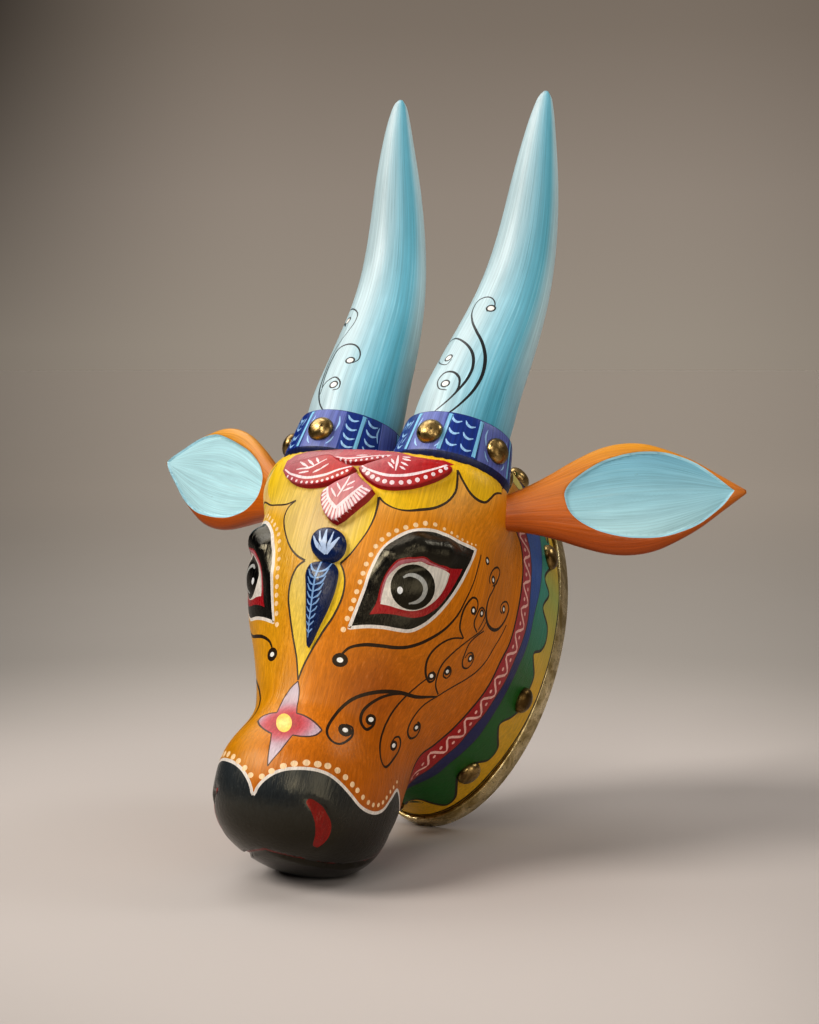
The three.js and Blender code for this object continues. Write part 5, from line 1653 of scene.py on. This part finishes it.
def horn_lit_and_shaded(side):
    """Sky blue, paler on the cow's right as painted light; teal at the root and along the cow's left, partly
    the paint and partly painted shade; a pale streak past that, a painted reflection.
    """
    across = row_to_head_way((math.cos(CAMERA_YAW), math.sin(CAMERA_YAW), 0))

    def shade(corner):
        t = np.clip((corner[..., 1] - HORN_FOOT) / (HORN_TOP - HORN_FOOT), 0, 1)
        radius, = eased(HORN_RADII, t)
        turn = (corner - horn_axis(side, t)) @ across / np.maximum(radius, 3)
        colour = colour_at(turn, HORN_LIGHT_ACROSS, HORN_LIGHT_SHADE_CODES)
        # teal at the root on the far side, partly painted shade
        root = np.clip((345 - corner[..., 1]) / 90, 0, 1)[..., None]
        root = root * np.clip(0.12 + 0.6 * turn, 0, 0.75)[..., None]
        return colour * (1 - root) + linear("3C9DB8") * root
    return shade


PALETTE.update({
    # the horns' blues carry painted light, painted shade and a painted reflection
    "horn_1": (horn_lit_and_shaded(1), 0.34), "horn_-1": (horn_lit_and_shaded(-1), 0.34), "horn_line": ("1A1E20", 0.4),
    "collar_foot": ("101B4C", 0.38), "collar_blue": ("0F3080", 0.34), "collar_violet": ("5E68AA", 0.42),
    "collar_line": ("7CBCDE", 0.42), "collar_dark": ("0C1A40", 0.4),
    "collar_white": ("9CC4E8", 0.42), "collar_rim": ("1C2F78", 0.4),
    # ear orange darker and redder low down as painted shade, yellower along the top as painted light
    "ear": (shade_between(("A04806", "BE5E04", "CC7A12", "D8942A"), (232, 250, 284, 304),
                          stand_height), 0.34),
    "ear_rim": ("9CCAD6", 0.42),
    # the cow's left ear's scoop darker towards the top, paler below: painted shade in the hollow
    "ear_blue": (shade_between(("B2D8DC", "98C6D0", "7CB2C2", "6CA2B6"), (238, 260, 284, 300),
                               stand_height), 0.4),
    # the cow's right ear's scoop paler all over: a lit copy of the same blue, painted light
    "ear_blue_lit": ("B8E0E6", 0.4)})

for word, side in (("left", 1), ("right", -1)):
    horn(side, word)
    collar(side, word)
    ear(side, word)
hoop()
nails()
carved_head()


# The studio: how much its light, and the floor's painted shade, darken to the left, more with height, and to
# the right; the floor's greys, with painted shade between near and far, and the distances in metres over
# which one goes into the next
LEFT_DIM, LEFT_RISE, RIGHT_DIM = 0.52, 4.8, 0.62
FLOOR_NEAR, FLOOR_MIDDLE, FLOOR_FAR = "B8AFA9", "9B948D", "C1B6AB"
FLOOR_FADE, FLOOR_FAR_FADE = (0.3, 1.05), (0.9, 4.2)


def fall_off(n, way):
    """How the studio darkens to the left, more so higher up, and to the right, by direction: in the world's
    light, and as painted shade on the floor.
    """
    across = n.add("ShaderNodeVectorMath", {0: way, 1: (math.cos(CAMERA_YAW), math.sin(CAMERA_YAW), 0)},
                   operation="DOT_PRODUCT").outputs["Value"]
    up = n.add("ShaderNodeSeparateXYZ", {0: way}).outputs["Z"]
    above = n.sum("MAXIMUM", n.sum("MINIMUM", up, 0.2), 0)
    deep = n.sum("ADD", n.sum("MULTIPLY", above, LEFT_RISE), LEFT_DIM)
    left = n.sum("SUBTRACT", 1, n.sum("MULTIPLY", n.ramp(across, -0.3, -0.06, 1, 0), deep))
    return left, n.ramp(across, 0.11, 0.34, 1.0, RIGHT_DIM)


def stage():
    """A pale floor that darkens into the grey of the wall, with painted shade towards the sides."""
    bm = bmesh.new()
    bmesh.ops.create_circle(bm, cap_ends=True, segments=96, radius=30)
    mesh = bpy.data.meshes.new("floor")
    bm.to_mesh(mesh)
    bm.free()
    floor = bpy.data.objects.new("floor", mesh)
    bpy.context.scene.collection.objects.link(floor)
    n = Nodes("floor_paint")
    where = n.add("ShaderNodeTexCoord").outputs["Object"]
    away = n.add("ShaderNodeVectorMath", {0: where}, operation="LENGTH").outputs["Value"]
    mottle = n.ramp(n.noise((3, 3, 3), 3), 0.3, 0.7, -0.02, 0.02)
    share = n.sum("ADD", n.ramp(away, *FLOOR_FADE), mottle, True)
    far = n.ramp(away, *FLOOR_FAR_FADE)
    way = n.add("ShaderNodeVectorMath", {0: where, 1: CAMERA_PLACE}, operation="SUBTRACT")
    way = n.add("ShaderNodeVectorMath", {0: way}, operation="NORMALIZE").outputs[0]
    left, right = fall_off(n, way)
    # painted shade on the floor to the left and right
    dim = n.sum("MULTIPLY", n.sum("SUBTRACT", 1, n.sum("MULTIPLY", n.sum("SUBTRACT", 1, left), share)), right)
    # floor greys darker between near and far: painted shade
    paint = n.mix(far, n.mix(share, rgb(FLOOR_NEAR), rgb(FLOOR_MIDDLE)), rgb(FLOOR_FAR))
    grey = n.add("ShaderNodeCombineColor", {0: dim, 1: dim, 2: dim}).outputs[0]
    paint = n.mix(1.0, paint, grey, "MULTIPLY")
    mesh.materials.append(n.done(paint, 0.7))


def sky():
    """Soft light all round: wall grey at the height of the eye, brighter above."""
    world = bpy.data.worlds.new("studio")
    world.use_nodes = True
    bpy.context.scene.world = world
    n = Nodes("studio", tree=world.node_tree)
    way = n.add("ShaderNodeTexCoord").outputs["Generated"]
    ramp = n.add("ShaderNodeValToRGB", {"Fac": n.add("ShaderNodeSeparateXYZ", {0: way}).outputs["Z"]})
    first, last = ramp.color_ramp.elements[0], ramp.color_ramp.elements[1]
    first.position, first.color = 0.0, rgb("938A7F")
    last.position, last.color = 0.85, rgb("A8A6A2")
    for at, code in ((0.07, "8C8278"), (0.146, "7A7066"), (0.3, "645C54"), (0.5, "8A8680")):
        ramp.color_ramp.elements.new(at).color = rgb(code)
    dim = n.sum("MULTIPLY", *fall_off(n, way))
    dim = n.add("ShaderNodeCombineColor", {0: dim, 1: dim, 2: dim}).outputs[0]
    back = world.node_tree.nodes["Background"]
    n.put(back.inputs["Color"], n.mix(1.0, ramp.outputs["Color"], dim, "MULTIPLY"))
    back.inputs["Strength"].default_value = 1.0


def softbox(name, place, aim, size, power, colour):
    """A square lamp of that size, turned to what it lights."""
    lamp = bpy.data.lights.new(name, "AREA")
    lamp.shape, lamp.size, lamp.energy, lamp.color = "SQUARE", size, power, colour
    box = bpy.data.objects.new(name, lamp)
    box.location = place
    box.rotation_euler = (Vector(aim) - Vector(place)).to_track_quat("-Z", "Y").to_euler()
    bpy.context.scene.collection.objects.link(box)


def far_light(name, way, power, spread, colour):
    """A wide soft lamp a long way off, towards way."""
    lamp = bpy.data.lights.new(name, "SUN")
    lamp.angle, lamp.energy, lamp.color = math.radians(spread), power, colour
    box = bpy.data.objects.new(name, lamp)
    box.location = way
    box.rotation_euler = Vector(way).to_track_quat("Z", "Y").to_euler()
    bpy.context.scene.collection.objects.link(box)


def camera():
    lens = bpy.data.cameras.new("camera")
    lens.sensor_width, lens.lens = 36, PHOTO_FOCAL / PHOTO_SIZE[1] * 36
    lens.clip_start, lens.clip_end = 0.05, 100
    eye = bpy.data.objects.new("camera", lens)
    eye.location = CAMERA_PLACE
    eye.rotation_euler = (math.pi / 2 - CAMERA_PITCH, 0, CAMERA_YAW)
    bpy.context.scene.collection.objects.link(eye)
    bpy.context.scene.camera = eye


stage()
sky()
far_light("key", (-0.58, -0.55, 0.72), 2.2, 26, (1.0, 0.975, 0.94))
softbox("top", (-1.2, 0.35, 1.9), (-0.05, -0.05, 0.25), 1.5, 20, (1.0, 0.985, 0.96))
softbox("rim", (1.2, 1.0, 1.5), (0, 0, 0.4), 0.6, 6, (0.95, 0.97, 1.0))
softbox("front", (0.6, -1.85, 1.05), (0, -0.1, 0.2), 0.5, 4.5, (1.0, 0.98, 0.95))
softbox("brow", (0.2, -1.5, 1.6), (0, -0.1, 0.2), 0.55, 5.5, (1.0, 0.98, 0.95))
softbox("side", (1.7, -0.9, 0.7), (0, -0.05, 0.2), 1.2, 9, (1.0, 0.98, 0.95))
camera()
bpy.context.scene.view_settings.view_transform = "Standard"
bpy.context.scene.view_settings.look = "Medium High Contrast"
